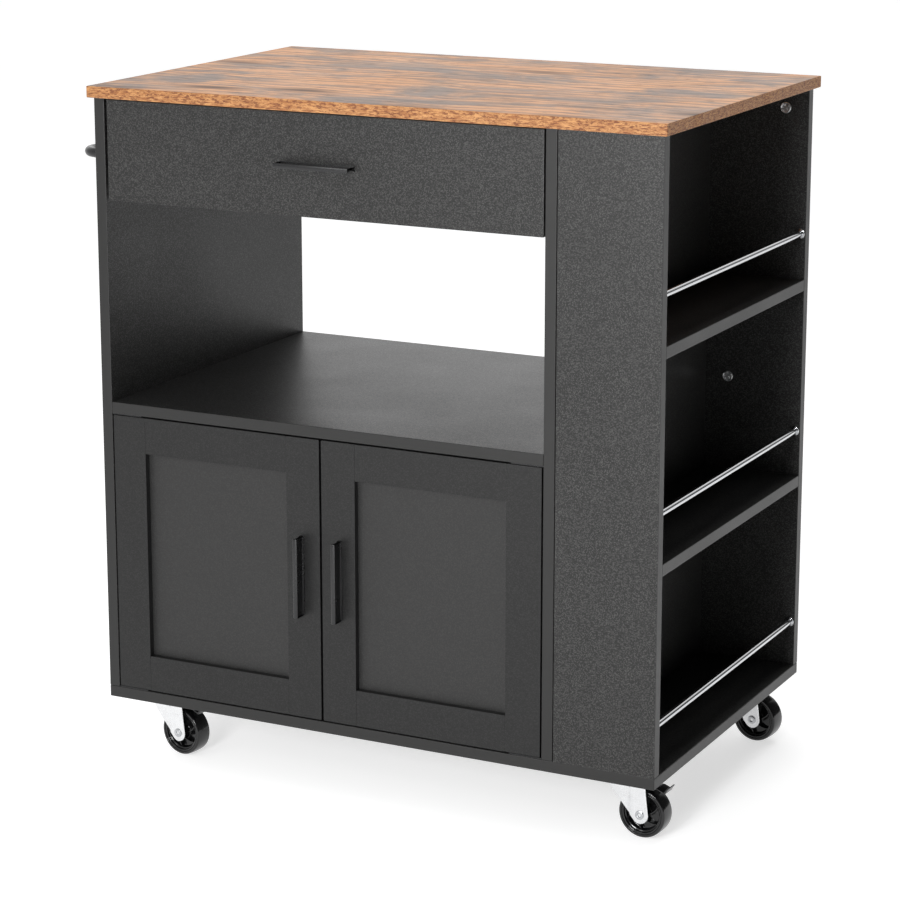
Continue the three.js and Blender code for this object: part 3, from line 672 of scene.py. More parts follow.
@once
def plated_steel(name, shade, low, high, stretch):
    """Zinc-plated sheet: cloudy plating, fine rolling lines and a slightly uneven gloss."""
    shades = bpy.context.scene.cart_colours
    material, tree, shader, places = principled(name, Metallic=1.0)
    vector = places.outputs["Object"]
    lines = fine_lines(tree, vector, stretch, 900.0)
    smudge = smudges(tree, vector, 45.0)
    full = getattr(shades, shade)
    dull = [channel * 0.84 for channel in full]
    cloud = calculate(tree, "ADD", calculate(tree, "MULTIPLY", smudge, 0.6),
                      calculate(tree, "MULTIPLY", lines, 0.3))
    tree.links.new(mix_colours(tree, cloud, colour(full), colour(dull)), shader.inputs["Base Color"])
    tree.links.new(spread(tree, cloud, 0.0, 0.9, low, high), shader.inputs["Roughness"])
    bump(tree, shader, lines, 0.08, 0.00004)
    return material


def hardware_steel():
    """Plated sheet of the slides, screws and pins, rolled along Y."""
    return plated_steel("hardware_steel", "steel", 0.28, 0.42, (1.0, 0.1, 1.0))


def cast_zinc():
    """Cast zinc of the cam locks, with an even grain."""
    return plated_steel("cast_zinc", "zinc", 0.22, 0.40, (1.0, 1.0, 1.0))


def bright_zinc():
    """Bright plated sheet of the casters, drawn along Z."""
    return plated_steel("bright_zinc", "zinc", 0.20, 0.32, (1.0, 1.0, 0.12))


@once
def wheel_plastic():
    """Glossy black moulding with fine scuffs and a little dust in its gloss."""
    shades = bpy.context.scene.cart_colours
    material, tree, shader, places = principled("black_wheel_plastic", Specular_IOR_Level=0.5)
    vector = places.outputs["Object"]
    scuffs = noise(tree, vector, 240.0, 5.0, 0.7)
    smudge = smudges(tree, vector, 40.0)
    dusty = [0.009 + channel for channel in shades.wheel]
    tree.links.new(mix_colours(tree, spread(tree, scuffs, 0.55, 0.8), colour(shades.wheel), colour(dusty)),
                   shader.inputs["Base Color"])
    tree.links.new(spread(tree, smudge, 0.0, 1.0, 0.10, 0.18), shader.inputs["Roughness"])
    bump(tree, shader, scuffs, 0.05, 0.00006)
    return material


# ---------------------------------------------------------------------------------------------------------
# Places taken from the frame


def thin_axis(name):
    """Letter of the axis across a board's thickness."""
    low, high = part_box(name)
    return "xyz"[int(np.argmin(np.array(high - low)))]


def middle(name):
    """Centre of a CAD node's box."""
    low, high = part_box(name)
    return np.array((low + high) / 2)


def caster_frame(name):
    """Swivel axis on the floor, and the directions along the trail, along the axle and up."""
    swivel = np.array(JOINTS[f"swivel_{name}"]["pos_m"], float)
    axle = np.array(JOINTS[f"wheel_spin_{name}"]["pos_m"], float)
    trail = axle - swivel
    trail[2] = 0.0
    reach = np.linalg.norm(trail)
    trail /= reach
    swivel[2] = 0.0
    across = np.cross([0.0, 0.0, 1.0], trail)
    return swivel, trail, across, np.array([0.0, 0.0, 1.0]), reach, axle


# ---------------------------------------------------------------------------------------------------------
# Operators: one for each piece or group of like pieces


class CART_OT_black_boards(bpy.types.Operator):
    """Soft edges and pebbled black laminate on the boards of the body and the rack"""

    bl_idname = "cart.black_boards"
    bl_label = "Black boards"

    def execute(self, context):
        names = ["bottom_panel", "left_side_panel", "partition_panel", "middle_shelf", "cabinet_back_panel",
                 "drawer_bay_back_rail", "cabinet_inner_shelf", "rack_front_panel", "rack_rear_panel",
                 "rack_shelf_middle", "rack_shelf_upper", "drawer_front"]
        for name in names:
            soften(name, context.scene.cart_sizes.board_edge, black_laminate(thin_axis(name)))
        return {"FINISHED"}


class CART_OT_wood_top(bpy.types.Operator):
    """Rustic wood laminate on the top"""

    bl_idname = "cart.wood_top"
    bl_label = "Wood top"

    def execute(self, context):
        soften("top_board", context.scene.cart_sizes.board_edge, wood_top())
        return {"FINISHED"}


class CART_OT_drawer_box(bpy.types.Operator):
    """Board finish on the sides, back and bottom of the drawer"""

    bl_idname = "cart.drawer_box"
    bl_label = "Drawer box"

    def execute(self, context):
        for name in ("drawer_side_left", "drawer_side_right", "drawer_back", "drawer_bottom"):
            soften(name, context.scene.cart_sizes.door_edge, drawer_board())
        return {"FINISHED"}


class CART_OT_doors(bpy.types.Operator):
    """Black foil on the slabs, stiles and rails of both doors"""

    bl_idname = "cart.doors"
    bl_label = "Doors"

    def execute(self, context):
        width = context.scene.cart_sizes.door_edge
        for side in SIDES:
            for part in ("hinge_stile", "slab", "meeting_stile", "top_rail", "bottom_rail"):
                # Painted sheen: the slab's foil is coloured lighter than its stiles and rails, as if it
                # caught more light.
                painted_sheen = 0.09 if part == "slab" else 0.0
                soften(f"{side}_door_{part}", width, door_foil(painted_sheen))
        return {"FINISHED"}


class CART_OT_handles(bpy.types.Operator):
    """Powder-coated bar handles: an I section with a crowned front flange and soft ends"""

    bl_idname = "cart.handles"
    bl_label = "Bar handles"

    def execute(self, context):
        edge = context.scene.cart_sizes.handle_edge
        for body in ("drawer", "left_door", "right_door"):
            name = f"{body}_handle"
            low, high = (np.array(corner, float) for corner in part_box(name))
            size = high - low
            long_axis = 0 if size[0] > size[2] else 2
            through = np.eye(3)[long_axis]
            across = np.eye(3)[2 - long_axis]
            half_length = size[long_axis] / 2 - CLEAR
            back_centre = np.array([(low[0] + high[0]) / 2, high[1], (low[2] + high[2]) / 2])
            section = self.crowned_section(size[2 - long_axis] / 2 - CLEAR, size[1] - CLEAR, edge)
            bar = pressed(section, rounded_levels(-half_length, half_length, edge), back_centre, across,
                          (0, 1, 0), through)
            add_piece(f"bar_{name}", [bar], powder_coat(), body, [name], 42)
        return {"FINISHED"}

    def crowned_section(self, half, depth, edge):
        """I section seen along the bar. Its front edge is a parabola: the depth falls with the square of the
        distance from the middle. The rest is the web and the flat flange at the back."""
        flange, web, crown = 0.0020, 0.00125, 0.0010
        share = np.linspace(-1, 1, 13)
        front = np.stack([half * share, -depth + crown * share ** 2], axis=-1)
        right = np.array([[half, flange - depth], [web, flange - depth], [web, -flange], [half, -flange],
                          [half, 0.0]])
        left = (right * [-1, 1])[::-1]
        return rounded(np.concatenate([front, right, left]), edge, 3)


class CART_OT_door_pivots(bpy.types.Operator):
    """Black coat on the pivots and sleeves that the doors turn on, plated steel on the drawer's slides"""

    bl_idname = "cart.door_pivots"
    bl_label = "Pivots and slides"

    def execute(self, context):
        width = context.scene.cart_sizes.hardware_edge
        for side in SIDES:
            for level in ("upper", "lower"):
                for part in ("pivot", "bush"):
                    pivot = soften(f"{side}_door_{level}_{part}", width, powder_coat())
            for part in ("runner", "slide"):
                soften(f"drawer_{part}_{side}", width, hardware_steel())
        return {"FINISHED"}


class CART_OT_towel_bar(bpy.types.Operator):
    """Round towel bar: two arms, two quarter bends and the straight grip, in one tube"""

    bl_idname = "cart.towel_bar"
    bl_label = "Towel bar"

    def execute(self, context):
        low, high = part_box("towel_bar")
        radius = (high.z - low.z) / 2
        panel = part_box("left_side_panel")[0].x
        x = low.x + radius
        z = (low.z + high.z) / 2
        near, far = low.y + radius, high.y - radius
        bend = 0.024
        turn = np.linspace(0, math.pi / 2, 17)
        first = np.stack([x + bend - bend * np.sin(turn), near + bend - bend * np.cos(turn)], axis=-1)
        second = np.stack([x + bend - bend * np.cos(turn), far - bend + bend * np.sin(turn)], axis=-1)
        grip = np.stack([np.full(8, x), np.linspace(near + bend, far - bend, 10)[1:-1]], axis=-1)
        flat = np.concatenate([[[panel, near]], first, grip, second, [[panel, far]]])
        path = np.column_stack([flat, np.full(len(flat), z)])
        tube = shell(carried(path, circle_of(radius, 32), (0, 0, 1)))
        add_piece("towel_bar_tube", [tube], powder_coat(), "cart_body", ["towel_bar"], 60)
        return {"FINISHED"}


class CART_OT_rack_rails(bpy.types.Operator):
    """Three chrome rods across the open side of the rack, each held in two flanged sockets"""

    bl_idname = "cart.rack_rails"
    bl_label = "Rack rails"

    def execute(self, context):
        socket = context.scene.cart_sizes.socket_radius
        for tier in TIERS:
            low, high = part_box(f"rack_rail_{tier}")
            radius = (high.z - low.z) / 2
            centre = middle(f"rack_rail_{tier}")
            half = (high.y - low.y) / 2
            chamfer = 0.0006
            rod = [[radius - chamfer, -half], [radius, -half + chamfer], [radius, half - chamfer],
                   [radius - chamfer, half]]
            add_piece(f"rack_rod_{tier}", [turned(rod, centre, (0, 1, 0), 40)], chrome_plate(), "cart_body",
                      [f"rack_rail_{tier}"], 40)
            shells = [self.socket(centre, half, end, radius, socket) for end in (-1, 1)]
            add_piece(f"rack_rail_sockets_{tier}", shells, chrome_plate(), "cart_body")
        return {"FINISHED"}

    def socket(self, centre, half, end, rod, radius):
        """Turned flange with a raised collar round the rod; its back lies on the panel."""
        flange, collar, bore, sleeve = 0.0012, 0.0048, rod + 0.00005, rod + 0.0013
        profile = rounded([[bore, 0], [radius, 0], [radius, flange], [sleeve, flange], [sleeve, collar],
                           [bore, collar]], 0.0004)
        return turned(profile, centre + np.array([0, end * half, 0]), (0, -end, 0), 40, looped=True)


class CART_OT_caster_plates(bpy.types.Operator):
    """Plated finish on the screw plates of the casters"""

    bl_idname = "cart.caster_plates"
    bl_label = "Caster plates"

    def execute(self, context):
        for name in CASTERS:
            soften(f"caster_plate_{name}", context.scene.cart_sizes.hardware_edge, bright_zinc())
        return {"FINISHED"}


class CART_OT_caster_forks(bpy.types.Operator):
    """Pressed forks: a sheet folded over the swivel, with tapering legs, a bearing cup and a riveted axle"""

    bl_idname = "cart.caster_forks"
    bl_label = "Caster forks"

    def execute(self, context):
        for name in CASTERS:
            origin, trail, across, up, reach, axle = caster_frame(name)
            shells = [self.folded_sheet(origin, trail, across, up, reach, axle[2]), self.bearing_cup(origin)]
            add_piece(f"fork_{name}", shells, bright_zinc(), f"swivel_{name}",
                      [f"caster_fork_{name}"], 38)
            add_piece(f"axle_{name}", [self.axle_tube(axle, across)], hardware_steel(), f"swivel_{name}",
                      [], 38)
        return {"FINISHED"}

    def folded_sheet(self, origin, trail, across, up, reach, axle_height):
        """Strip folded into a U. The first parameter runs down one leg, over the crown and down the other;
        the second runs round the strip's thin section. The strip's front and rear edges follow the leg:
        straight from the crown to the tangents of the round tip, and then the tip's circle. A shallow
        step, a smooth S across the trail, sets the front half of each leg inwards."""
        sheet, inner, fold, tip = 0.0022, 0.0152, 0.0040, 0.0115
        crown_top, crown_front, crown_rear = 0.07475, -0.017, reach + 0.006
        knee_height, knee_front = 0.060, -0.013
        step_start, step_width, step_depth = 0.0142, 0.0026, 0.0017
        half = inner + sheet / 2
        top = crown_top - sheet / 2
        leg = top - fold - (axle_height - tip)
        quarter = fold * math.pi / 2
        flat = 2 * (half - fold)
        depth = leg * (1 - np.cos(np.linspace(0, math.pi / 2, 30)))
        stations = np.concatenate([depth, leg + np.linspace(0, quarter, 9)[1:],
                                   leg + quarter + np.linspace(0, flat / 2, 7)[1:]])
        stations[0] = CLEAR
        full = 2 * (leg + quarter) + flat
        stations = np.concatenate([stations, (full - stations[::-1])[1:]])
        mirrored = np.minimum(stations, full - stations)
        side = np.where(stations < full / 2, -1.0, 1.0)
        turn = np.clip((mirrored - leg) / fold, 0, math.pi / 2)
        past = np.maximum(mirrored - leg - quarter, 0)
        lateral = side * (half - fold + fold * np.cos(turn) - past)
        height = axle_height - tip + np.minimum(mirrored, leg) + fold * np.sin(turn)
        front_angle, rear_angle = math.radians(218), math.radians(8)
        drop = np.sqrt(np.maximum(tip ** 2 - (height - axle_height) ** 2, 0))
        front_tangent = axle_height + tip * math.sin(front_angle)
        rear_tangent = axle_height + tip * math.sin(rear_angle)
        front_line = np.interp(height, [front_tangent, knee_height, crown_top],
                               [reach + tip * math.cos(front_angle), knee_front, crown_front])
        rear_line = np.interp(height, [rear_tangent, crown_top],
                              [reach + tip * math.cos(rear_angle), crown_rear])
        front = np.where(height < front_tangent, reach - drop, front_line) - 0.05 * past
        rear = np.where(height < rear_tangent, reach + drop, rear_line)
        width = np.maximum(rear - front, 0.0003)
        centre = (front + rear) / 2
        share = np.linspace(-1, 1, 33)
        corner = np.linspace(math.pi / 2, -math.pi / 2, 7)[1:-1]
        outer_row = np.stack([share, np.full_like(share, 0.5)], axis=-1)
        round_end = np.stack([np.ones_like(corner), 0.5 * np.sin(corner)], axis=-1)
        bulge = np.cos(corner)
        loop = np.concatenate([outer_row, round_end, outer_row[::-1] * [1, -1], round_end * [-1, -1]])
        swell = np.concatenate([0 * share, bulge, 0 * share, -bulge])
        along = centre[:, None] + loop[None, :, 0] * np.maximum(width[:, None] / 2 - sheet / 2, 0.0001)
        along = along + swell[None] * np.minimum(sheet / 2, width[:, None] / 2)
        step_place = np.clip((step_start - along) / step_width, 0, 1)
        step = step_depth * step_place ** 2 * (3 - 2 * step_place)
        on_leg = np.cos(turn)[:, None]
        out_lateral = side * np.cos(turn)
        out_height = np.sin(turn)
        offset = loop[None, :, 1] * sheet
        lateral_all = lateral[:, None] + out_lateral[:, None] * offset - side[:, None] * step * on_leg
        height_all = height[:, None] + out_height[:, None] * offset
        rings = along[..., None] * trail + lateral_all[..., None] * across + height_all[..., None] * up
        return shell(rings + origin)

    def bearing_cup(self, origin):
        """Turned cup that holds the swivel's balls, standing on the crown."""
        profile = rounded([[0.0168, 0.0746], [0.0198, 0.0746], [0.0190, 0.0772], [0.0168, 0.0778]], 0.0006)
        return turned(profile, origin, (0, 0, 1), 48, looped=True)

    def axle_tube(self, axle, across):
        """Hollow rivet through both legs, with a rolled rim at each end."""
        reach, rim, shaft, bore, lip = 0.0189, 0.0058, 0.0040, 0.0021, 0.0014
        half = [[bore, 0.0], [bore, reach - 0.0012], [bore + 0.0006, reach - 0.0002],
                [shaft, reach], [rim, reach - 0.0006], [rim, reach - lip], [shaft, reach - lip],
                [shaft, 0.0]]
        profile = np.concatenate([half, (np.array(half) * [1, -1])[::-1][1:-1]])
        return turned(rounded(profile, 0.00035, 2), axle, across, 32, looped=True)


class CART_OT_caster_wheels(bpy.types.Operator):
    """Moulded wheels: a crowned tread, stepped rims, a thin web and a hub joined by twisted ribs"""

    bl_idname = "cart.caster_wheels"
    bl_label = "Caster wheels"

    def execute(self, context):
        sizes = context.scene.cart_sizes
        for name in CASTERS:
            _, trail, across, up, _, axle = caster_frame(name)
            shells = [self.moulding(axle, across)]
            for number in range(sizes.wheel_ribs):
                start = 2 * math.pi * number / sizes.wheel_ribs
                shells.append(self.rib(axle, trail, across, up, start, sizes.rib_twist))
            add_piece(f"wheel_{name}", shells, wheel_plastic(), f"wheel_{name}",
                      [f"caster_wheel_{name}"], 32)
        return {"FINISHED"}

    def moulding(self, axle, across):
        """Ring turned about the axle: from the bore out over the hub, the web, the stepped rim and the
        crowned tread, and back along the other side."""
        half = np.array([
            [4.3, 14.0], [8.6, 14.0], [9.2, 3.2], [21.6, 2.6], [22.6, 8.2], [24.4, 9.0], [24.9, 11.2],
            [26.6, 11.7], [27.0, 11.0], [27.5, 11.0], [27.9, 12.1], [30.4, 12.1], [31.4, 10.6],
            [31.9, 5.0], [32.0, 0.0],
        ])
        radius = np.array([0.6, 1.0, 1.2, 1.6, 0.9, 0.6, 0.6, 0.4, 0.2, 0.2, 0.5, 1.2, 1.0, 1.6, 1.0])
        profile = np.concatenate([half, (half * [1, -1])[::-1][1:]])
        profile = rounded(profile * MM, np.concatenate([radius, radius[::-1][1:]]) * MM, 4)
        return turned(profile, axle, across, 96, looped=True)

    def rib(self, axle, trail, across, up, start, twist):
        """Vane from hub to rim. Its place round the axle turns evenly with its distance from the hub."""
        half_thick = 0.0011
        distance = np.linspace(0.0080, 0.0226, 13)
        angle = start + twist * (distance - distance[0]) / (distance[-1] - distance[0])
        radial = np.cos(angle)[:, None] * trail + np.sin(angle)[:, None] * up
        tangent = -np.sin(angle)[:, None] * trail + np.cos(angle)[:, None] * up
        deep = np.linspace(0.0106, 0.0074, 13)[:, None, None]
        section = rounded([[-1, -1], [1, -1], [1, 1], [-1, 1]], 0.35, 3)
        rings = (distance[:, None] * radial)[:, None] + section[None, :, :1] * half_thick * tangent[:, None]
        rings = rings + section[None, :, 1:] * deep * across
        return shell(rings + axle)


class CART_OT_caster_brakes(bpy.types.Operator):
    """Brake pedals of the front casters: a rounded moulding with grip bars and its hinge pin"""

    bl_idname = "cart.caster_brakes"
    bl_label = "Caster brakes"

    def execute(self, context):
        half_width, pin_half, grip_bars, grip_gap = 0.0108, 0.0172, 5, 0.0035
        for name in BRAKED:
            origin, trail, across, up, reach, _ = caster_frame(name)
            pivot = np.array(JOINTS[f"brake_{name}"]["pos_m"], float)
            start = float((pivot - origin) @ trail) - 0.002
            low = pivot[2] - 0.001
            tip = reach + 0.035
            blade_levels = rounded_levels(-half_width, half_width, 0.0007)
            grip_levels = rounded_levels(-0.0085, 0.0085, 0.0003, 2)
            shells = [pressed(self.side_outline(start, low, tip), blade_levels, origin, trail, up, across)]
            for number in range(grip_bars):
                bar = self.grip_outline(tip - 0.016 - grip_gap * number, low + 0.0012)
                shells.append(pressed(bar, grip_levels, origin, trail, up, across))
            knuckle = rounded([[0.0016, -half_width], [0.0030, -half_width], [0.0030, half_width],
                               [0.0016, half_width]], 0.0004, 2)
            shells.append(turned(knuckle, pivot, across, 28, looped=True))
            add_piece(f"brake_pedal_{name}", shells, wheel_plastic(), f"brake_{name}",
                      [f"caster_brake_{name}"], 34)
            pin = rounded([[0.0002, -pin_half], [0.0019, -pin_half], [0.0019, pin_half],
                           [0.0002, pin_half]], 0.0003, 2, closed=False)
            add_piece(f"brake_pin_{name}", [turned(pin, pivot, across, 20)], hardware_steel(),
                      f"brake_{name}")
        return {"FINISHED"}

    def side_outline(self, start, low, tip):
        """Pedal seen along the pin: a flat blade that dips before its tip and then turns up."""
        thick = 0.0020
        return rounded([
            [start, low], [tip - 0.014, low], [tip - 0.0045, low - 0.0045], [tip, low + 0.0035],
            [tip - 0.0016, low + 0.0040], [tip - 0.0055, low - 0.0012], [tip - 0.014, low + thick],
            [start, low + thick]], 0.0009, 4)

    def grip_outline(self, place, low):
        """Small square bar across the blade, seen along the pin."""
        wide, tall = 0.0014, 0.0016
        return rounded([[place, low], [place + wide, low], [place + wide, low + tall], [place, low + tall]],
                       0.0004, 2)


class CART_OT_cam_locks(bpy.types.Operator):
    """Cam locks let into the boards where the rack, the shelves and the bay's rail are joined"""

    bl_idname = "cart.cam_locks"
    bl_label = "Cam locks"

    def execute(self, context):
        for name, shells in self.groups(context.scene.cart_sizes.cam_radius).items():
            add_piece(name, shells, cast_zinc(), "cart_body", (), 30)
        return {"FINISHED"}

    def groups(self, radius):
        """Shells of the locks by piece name. Each lock sits at the inset from the edge of its board."""
        inset, below_top, below_upper_shelf = 0.032, 0.026, 0.126
        from_ends = 0.07
        rear_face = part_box("rack_rear_panel")[0].y
        front_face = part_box("rack_front_panel")[1].y
        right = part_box("rack_rear_panel")[1].x
        under_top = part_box("rack_rear_panel")[1].z
        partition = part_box("partition_panel")[1].x
        joint_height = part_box("rack_shelf_upper")[0].z - below_upper_shelf
        by_the_top = (right - inset, under_top - below_top)
        by_the_partition = (partition + inset, joint_height)
        made = {}
        for side, y, facing in (("rear", rear_face, -1), ("front", front_face, 1)):
            made[f"rack_{side}_cam_locks"] = [shape for x, z in (by_the_top, by_the_partition)
                                              for shape in self.lock((x, y, z), (0, facing, 0), radius)]
        for name in ("middle_shelf", "rack_shelf_middle", "rack_shelf_upper"):
            low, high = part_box(name)
            columns = (low.x + inset, high.x - inset) if name == "middle_shelf" else (low.x + inset,)
            made[f"{name}_cam_locks"] = [
                shape for x in columns for y in (low.y + from_ends, high.y - from_ends)
                for shape in self.lock((x, y, low.z), (0, 0, -1), radius)]
        low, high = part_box("drawer_bay_back_rail")
        made["back_rail_cam_locks"] = [
            shape for x in (low.x + inset, high.x - inset)
            for shape in self.lock((x, low.y, (low.z + high.z) / 2), (0, -1, 0), radius)]
        return made

    def lock(self, place, facing, radius):
        """Dished disc with a raised rim, and a cross-shaped screwdriver boss inside it."""
        profile = rounded([[radius * 0.10, 0.0003], [radius * 0.74, 0.0003], [radius * 0.82, 0.0018],
                           [radius * 0.92, 0.0018], [radius, 0.0008], [radius, -0.0015],
                           [radius * 0.10, -0.0015]], 0.0003, 3, closed=False)
        axis, across, up = perpendicular(facing)
        arm, thick = radius * 0.62, radius * 0.13
        cross = [[arm, thick], [thick, thick], [thick, arm], [-thick, arm], [-thick, thick], [-arm, thick],
                 [-arm, -thick], [-thick, -thick], [-thick, -arm], [thick, -arm], [thick, -thick],
                 [arm, -thick]]
        turn = math.radians(24)
        spun = np.array(cross) @ np.array([[math.cos(turn), math.sin(turn)],
                                           [-math.sin(turn), math.cos(turn)]])
        boss = pressed(rounded(spun, 0.0003, 2), [(0, -0.001), (0, 0.0014), (0.0002, 0.0017)], place,
                       across, up, axis)
        return [turned(profile, place, facing, 36), boss]


class CART_OT_screws(bpy.types.Operator):
    """Pan head screws of the casters and the handles, and small screws in the pivots' plates"""

    bl_idname = "cart.screws"
    bl_label = "Screws"

    def execute(self, context):
        radius = context.scene.cart_sizes.screw_radius
        inset, plate_sheet, handle_hole = 0.008, 0.0025, 0.032
        for name in CASTERS:
            low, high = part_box(f"caster_plate_{name}")
            plate_bottom = high.z - plate_sheet
            heads = [shape for x in (low.x + inset, high.x - inset) for y in (low.y + inset, high.y - inset)
                     for shape in self.head((x, y, plate_bottom), (0, 0, -1), radius)]
            add_piece(f"caster_screws_{name}", heads, hardware_steel(), "cart_body")
        slab_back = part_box("left_door_slab")[1].y
        for side in SIDES:
            x, _, z = middle(f"{side}_door_handle")
            heads = [shape for drop in (-handle_hole, handle_hole)
                     for shape in self.head((x, slab_back, z + drop), (0, 1, 0), radius)]
            add_piece(f"{side}_door_handle_screws", heads, hardware_steel(), f"{side}_door")
            self.pivot_screws(side)
        x, _, z = middle("drawer_handle")
        front_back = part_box("drawer_front")[1].y
        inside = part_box("drawer_bottom")[1].z
        heads = [shape for shift in (-handle_hole, handle_hole)
                 for shape in self.head((x + shift, front_back, max(z, inside + 0.01)), (0, 1, 0), radius)]
        add_piece("drawer_handle_screws", heads, hardware_steel(), "drawer")
        return {"FINISHED"}

    def pivot_screws(self, side):
        """Two flat screws in each pivot plate, clear of its pin."""
        towards = 1 if side == "left" else -1
        hinge = JOINTS[f"{side}_door_hinge"]["pos_m"][0]
        plate_sheet, from_front = 0.0015, 0.0055
        profile = rounded([[0.0003, 0.00035], [0.0022, 0.00035], [0.0026, -0.0004], [0.0003, -0.0004]],
                          0.0002, 2, closed=False)
        heads = []
        for level, facing in (("upper", -1), ("lower", 1)):
            low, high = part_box(f"{side}_door_{level}_pivot")
            plate = high.z - plate_sheet if facing < 0 else low.z + plate_sheet
            for distance in (0.014, 0.030):
                place = (hinge + towards * distance, low.y + from_front, plate)
                heads.append(turned(profile, place, (0, 0, facing), 24))
        add_piece(f"{side}_pivot_screws", heads, hardware_steel(), "cart_body")

    def head(self, place, facing, radius):
        """Domed head, a quarter ellipse in profile, that ends at the rim of a dished recess."""
        tall = 0.0017
        angle = np.linspace(0, math.pi / 2, 8)[:-1]
        dome = np.stack([radius * np.cos(angle), tall * np.sin(angle) + 0.0002], axis=-1)
        dome[-1, 0] = radius * 0.45
        recess = [[radius * 0.42, tall], [radius * 0.22, 0.0009]]
        return [turned(np.concatenate([[[radius, -0.001]], dome, recess]), place, facing, 24)]


class CART_OT_shelf_pegs(bpy.types.Operator):
    """Four steel pegs under the cabinet's inner shelf"""

    bl_idname = "cart.shelf_pegs"
    bl_label = "Shelf pegs"

    def execute(self, context):
        low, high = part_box("cabinet_inner_shelf")
        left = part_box("left_side_panel")[1].x
        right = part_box("partition_panel")[0].x
        inset, under_shelf = 0.04, 0.0037
        profile = rounded([[0.0002, -0.004], [0.0024, -0.004], [0.0024, 0.0], [0.0036, 0.0],
                           [0.0036, 0.0008], [0.0025, 0.0012], [0.0025, 0.0085], [0.0002, 0.0090]],
                          0.0003, 2, closed=False)
        shells = [turned(profile, (x, y, low.z - under_shelf), (towards, 0, 0), 28)
                  for x, towards in ((left, 1), (right, -1)) for y in (low.y + inset, high.y - inset)]
        add_piece("shelf_pegs", shells, hardware_steel(), "cart_body")
        return {"FINISHED"}


class CART_OT_door_catches(bpy.types.Operator):
    """Magnetic catches under the middle shelf and the small steel plates that they hold"""

    bl_idname = "cart.door_catches"
    bl_label = "Door catches"

    def execute(self, context):
        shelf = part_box("middle_shelf")[0].z
        half_width, behind_door, below_shelf = 0.006, 0.0095, 0.0105
        case_levels = rounded_levels(-0.011, 0.0, 0.0008)
        plate_levels = rounded_levels(0.0, 0.0012, 0.0003)
        for side in SIDES:
            x = middle(f"{side}_door_meeting_stile")[0]
            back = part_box(f"{side}_door_slab")[1].y
            case = pressed(self.oblong(0.021, half_width, 0.002), case_levels,
                           (x, back + behind_door, shelf), (1, 0, 0), (0, 1, 0), (0, 0, 1))
            add_piece(f"{side}_catch", [case], wheel_plastic(), "cart_body")
            plate = pressed(self.oblong(0.015, half_width, 0.0015), plate_levels,
                            (x, back, shelf - below_shelf), (1, 0, 0), (0, 0, 1), (0, 1, 0))
            add_piece(f"{side}_catch_plate", [plate], hardware_steel(), f"{side}_door")
        return {"FINISHED"}

    def oblong(self, half_length, half_width, radius):
        """Rounded rectangle about the origin."""
        return rounded([[-half_length, -half_width], [half_length, -half_width], [half_length, half_width],
                        [-half_length, half_width]], radius)


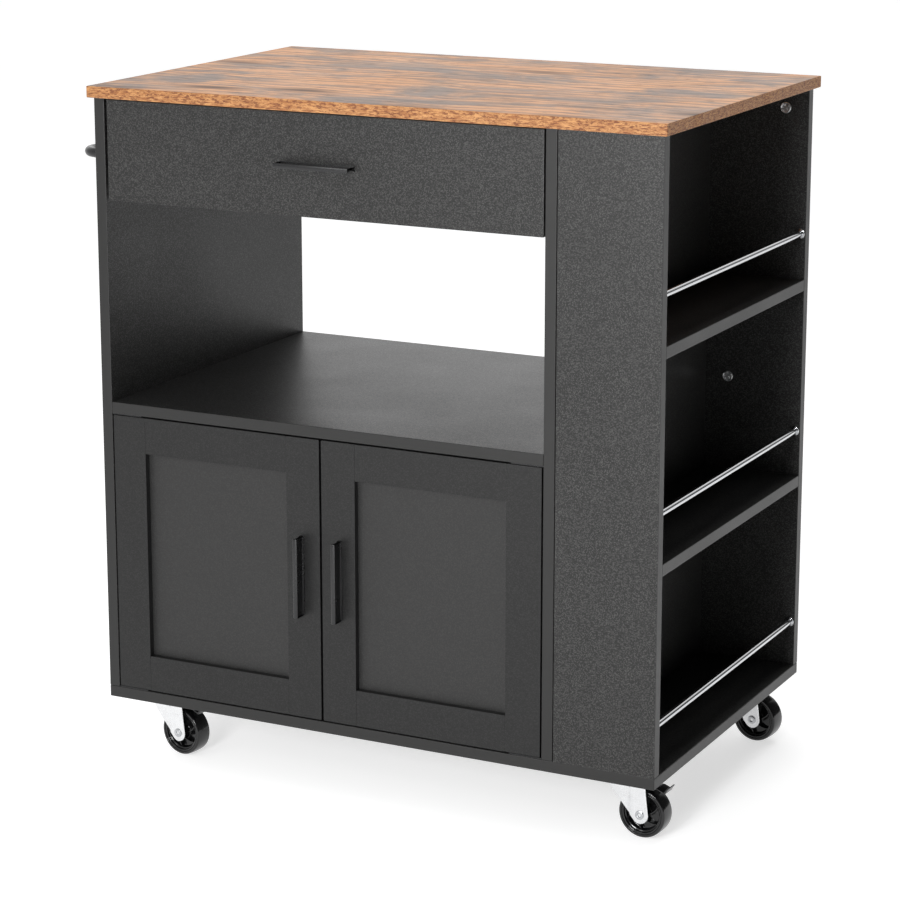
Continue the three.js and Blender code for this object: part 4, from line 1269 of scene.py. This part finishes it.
class CART_OT_stage(bpy.types.Operator):
    """Pale floor, soft studio light and the camera"""

    bl_idname = "cart.stage"
    bl_label = "Stage"

    def execute(self, context):
        stage = context.scene.cart_stage
        self.floor(stage)
        self.room(context.scene, stage)
        self.soft_box("key_light", (-1.2, -3.2, 2.4), (0, 0, 0.5), 1.1, 14)
        self.soft_box("top_light", (0.2, 0.6, 3.2), (0, 0, 0.5), 2.6, 30)
        self.soft_box("front_light", (0.3, -2.6, 1.05), (0.3, 0, 0.75), 0.7, 48)
        self.soft_box("rim_light", (2.3, -1.3, 0.45), (0, 0, 0.4), 0.6, 0.8)
        self.camera(context.scene, stage)
        context.scene.view_settings.view_transform = "Standard"
        return {"FINISHED"}

    def floor(self, stage):
        """Large pale square that glows a little, as a lit table does."""
        half = stage.floor_size / 2
        mesh = bpy.data.meshes.new("floor")
        mesh.from_pydata([(-half, -half, 0), (half, -half, 0), (half, half, 0), (-half, half, 0)], [],
                         [(0, 1, 2, 3)])
        material, tree, shader, places = principled("studio_floor", Roughness=0.9, Specular_IOR_Level=0.1)
        cloud = noise(tree, places.outputs["Object"], 1.5, 3.0)
        tree.links.new(mix_colours(tree, cloud, (0.60, 0.60, 0.60, 1), (0.64, 0.64, 0.64, 1)),
                       shader.inputs["Base Color"])
        shader.inputs["Emission Color"].default_value = (1, 1, 1, 1)
        shader.inputs["Emission Strength"].default_value = stage.floor_glow
        mesh.materials.append(material)
        floor = bpy.data.objects.new("floor", mesh)
        bpy.context.scene.collection.objects.link(floor)

    def room(self, scene, stage):
        """White walls: dim towards +X, where a dark flag stands, and brightest behind the cart."""
        world = bpy.data.worlds.new("studio_room")
        world.use_nodes = True
        tree = world.node_tree
        background = next(n for n in tree.nodes if n.type == "BACKGROUND")
        background.inputs["Color"].default_value = (1.0, 1.0, 1.0, 1.0)
        direction = node(tree, "TexCoord").outputs["Generated"]
        parts = node(tree, "SeparateXYZ", {0: direction}).outputs
        side = spread(tree, parts["X"], 0.08, 0.40, 1.0, 0.05)
        back = spread(tree, parts["Y"], 0.1, 0.7, stage.room_light, stage.room_light * 1.8)
        tree.links.new(calculate(tree, "MULTIPLY", side, back), background.inputs["Strength"])
        scene.world = world

    def soft_box(self, name, place, target, size, power):
        """Round area light that faces the target. The camera doesn't see it."""
        light = bpy.data.lights.new(name, "AREA")
        light.shape = "DISK"
        light.size = size
        light.energy = power
        lamp = bpy.data.objects.new(name, light)
        lamp.location = place
        direction = Vector(target) - Vector(place)
        lamp.rotation_euler = direction.to_track_quat("-Z", "Y").to_euler()
        lamp.visible_camera = False
        bpy.context.scene.collection.objects.link(lamp)

    def camera(self, scene, stage):
        """Camera on the stage's place, turned by its azimuth and tipped down by its pitch."""
        lens = bpy.data.cameras.new("camera")
        lens.lens = stage.lens
        lens.sensor_width = 36.0
        lens.shift_y = stage.shift
        camera = bpy.data.objects.new("camera", lens)
        camera.location = stage.position
        camera.rotation_euler = (math.pi / 2 - stage.pitch, 0.0, stage.azimuth)
        scene.collection.objects.link(camera)
        scene.camera = camera


OPERATORS = (
    CART_OT_black_boards, CART_OT_wood_top, CART_OT_drawer_box, CART_OT_doors, CART_OT_handles,
    CART_OT_door_pivots, CART_OT_towel_bar, CART_OT_rack_rails, CART_OT_caster_plates, CART_OT_caster_forks,
    CART_OT_caster_wheels, CART_OT_caster_brakes, CART_OT_cam_locks, CART_OT_screws, CART_OT_shelf_pegs,
    CART_OT_door_catches, CART_OT_stage,
)


class CART_PT_sidebar(bpy.types.Panel):
    """Sizes, colours and stage of the cart, and a button for each of its operators"""

    bl_idname = "CART_PT_sidebar"
    bl_label = "Island Cart"
    bl_space_type = "VIEW_3D"
    bl_region_type = "UI"
    bl_category = "Island Cart"

    def draw(self, context):
        for group in (context.scene.cart_sizes, context.scene.cart_colours, context.scene.cart_stage):
            box = self.layout.box()
            for name in group.__annotations__:
                box.prop(group, name)
        for operator in OPERATORS:
            self.layout.operator(operator.bl_idname)


GROUPS = {"cart_sizes": CartSizes, "cart_colours": CartColours, "cart_stage": CartStage}


def register():
    for name, group in GROUPS.items():
        bpy.utils.register_class(group)
        setattr(bpy.types.Scene, name, bpy.props.PointerProperty(type=group))
    for operator in OPERATORS:
        bpy.utils.register_class(operator)
    bpy.utils.register_class(CART_PT_sidebar)


def unregister():
    bpy.utils.unregister_class(CART_PT_sidebar)
    for operator in reversed(OPERATORS):
        bpy.utils.unregister_class(operator)
    for name, group in GROUPS.items():
        delattr(bpy.types.Scene, name)
        bpy.utils.unregister_class(group)


def main():
    """Runs every operator in order."""
    register()
    for operator in OPERATORS:
        group, name = operator.bl_idname.split(".")
        result = getattr(getattr(bpy.ops, group), name)()
        if result != {"FINISHED"}:
            raise RuntimeError(f"{operator.bl_label} didn't finish")


if __name__ == "__main__":
    main()
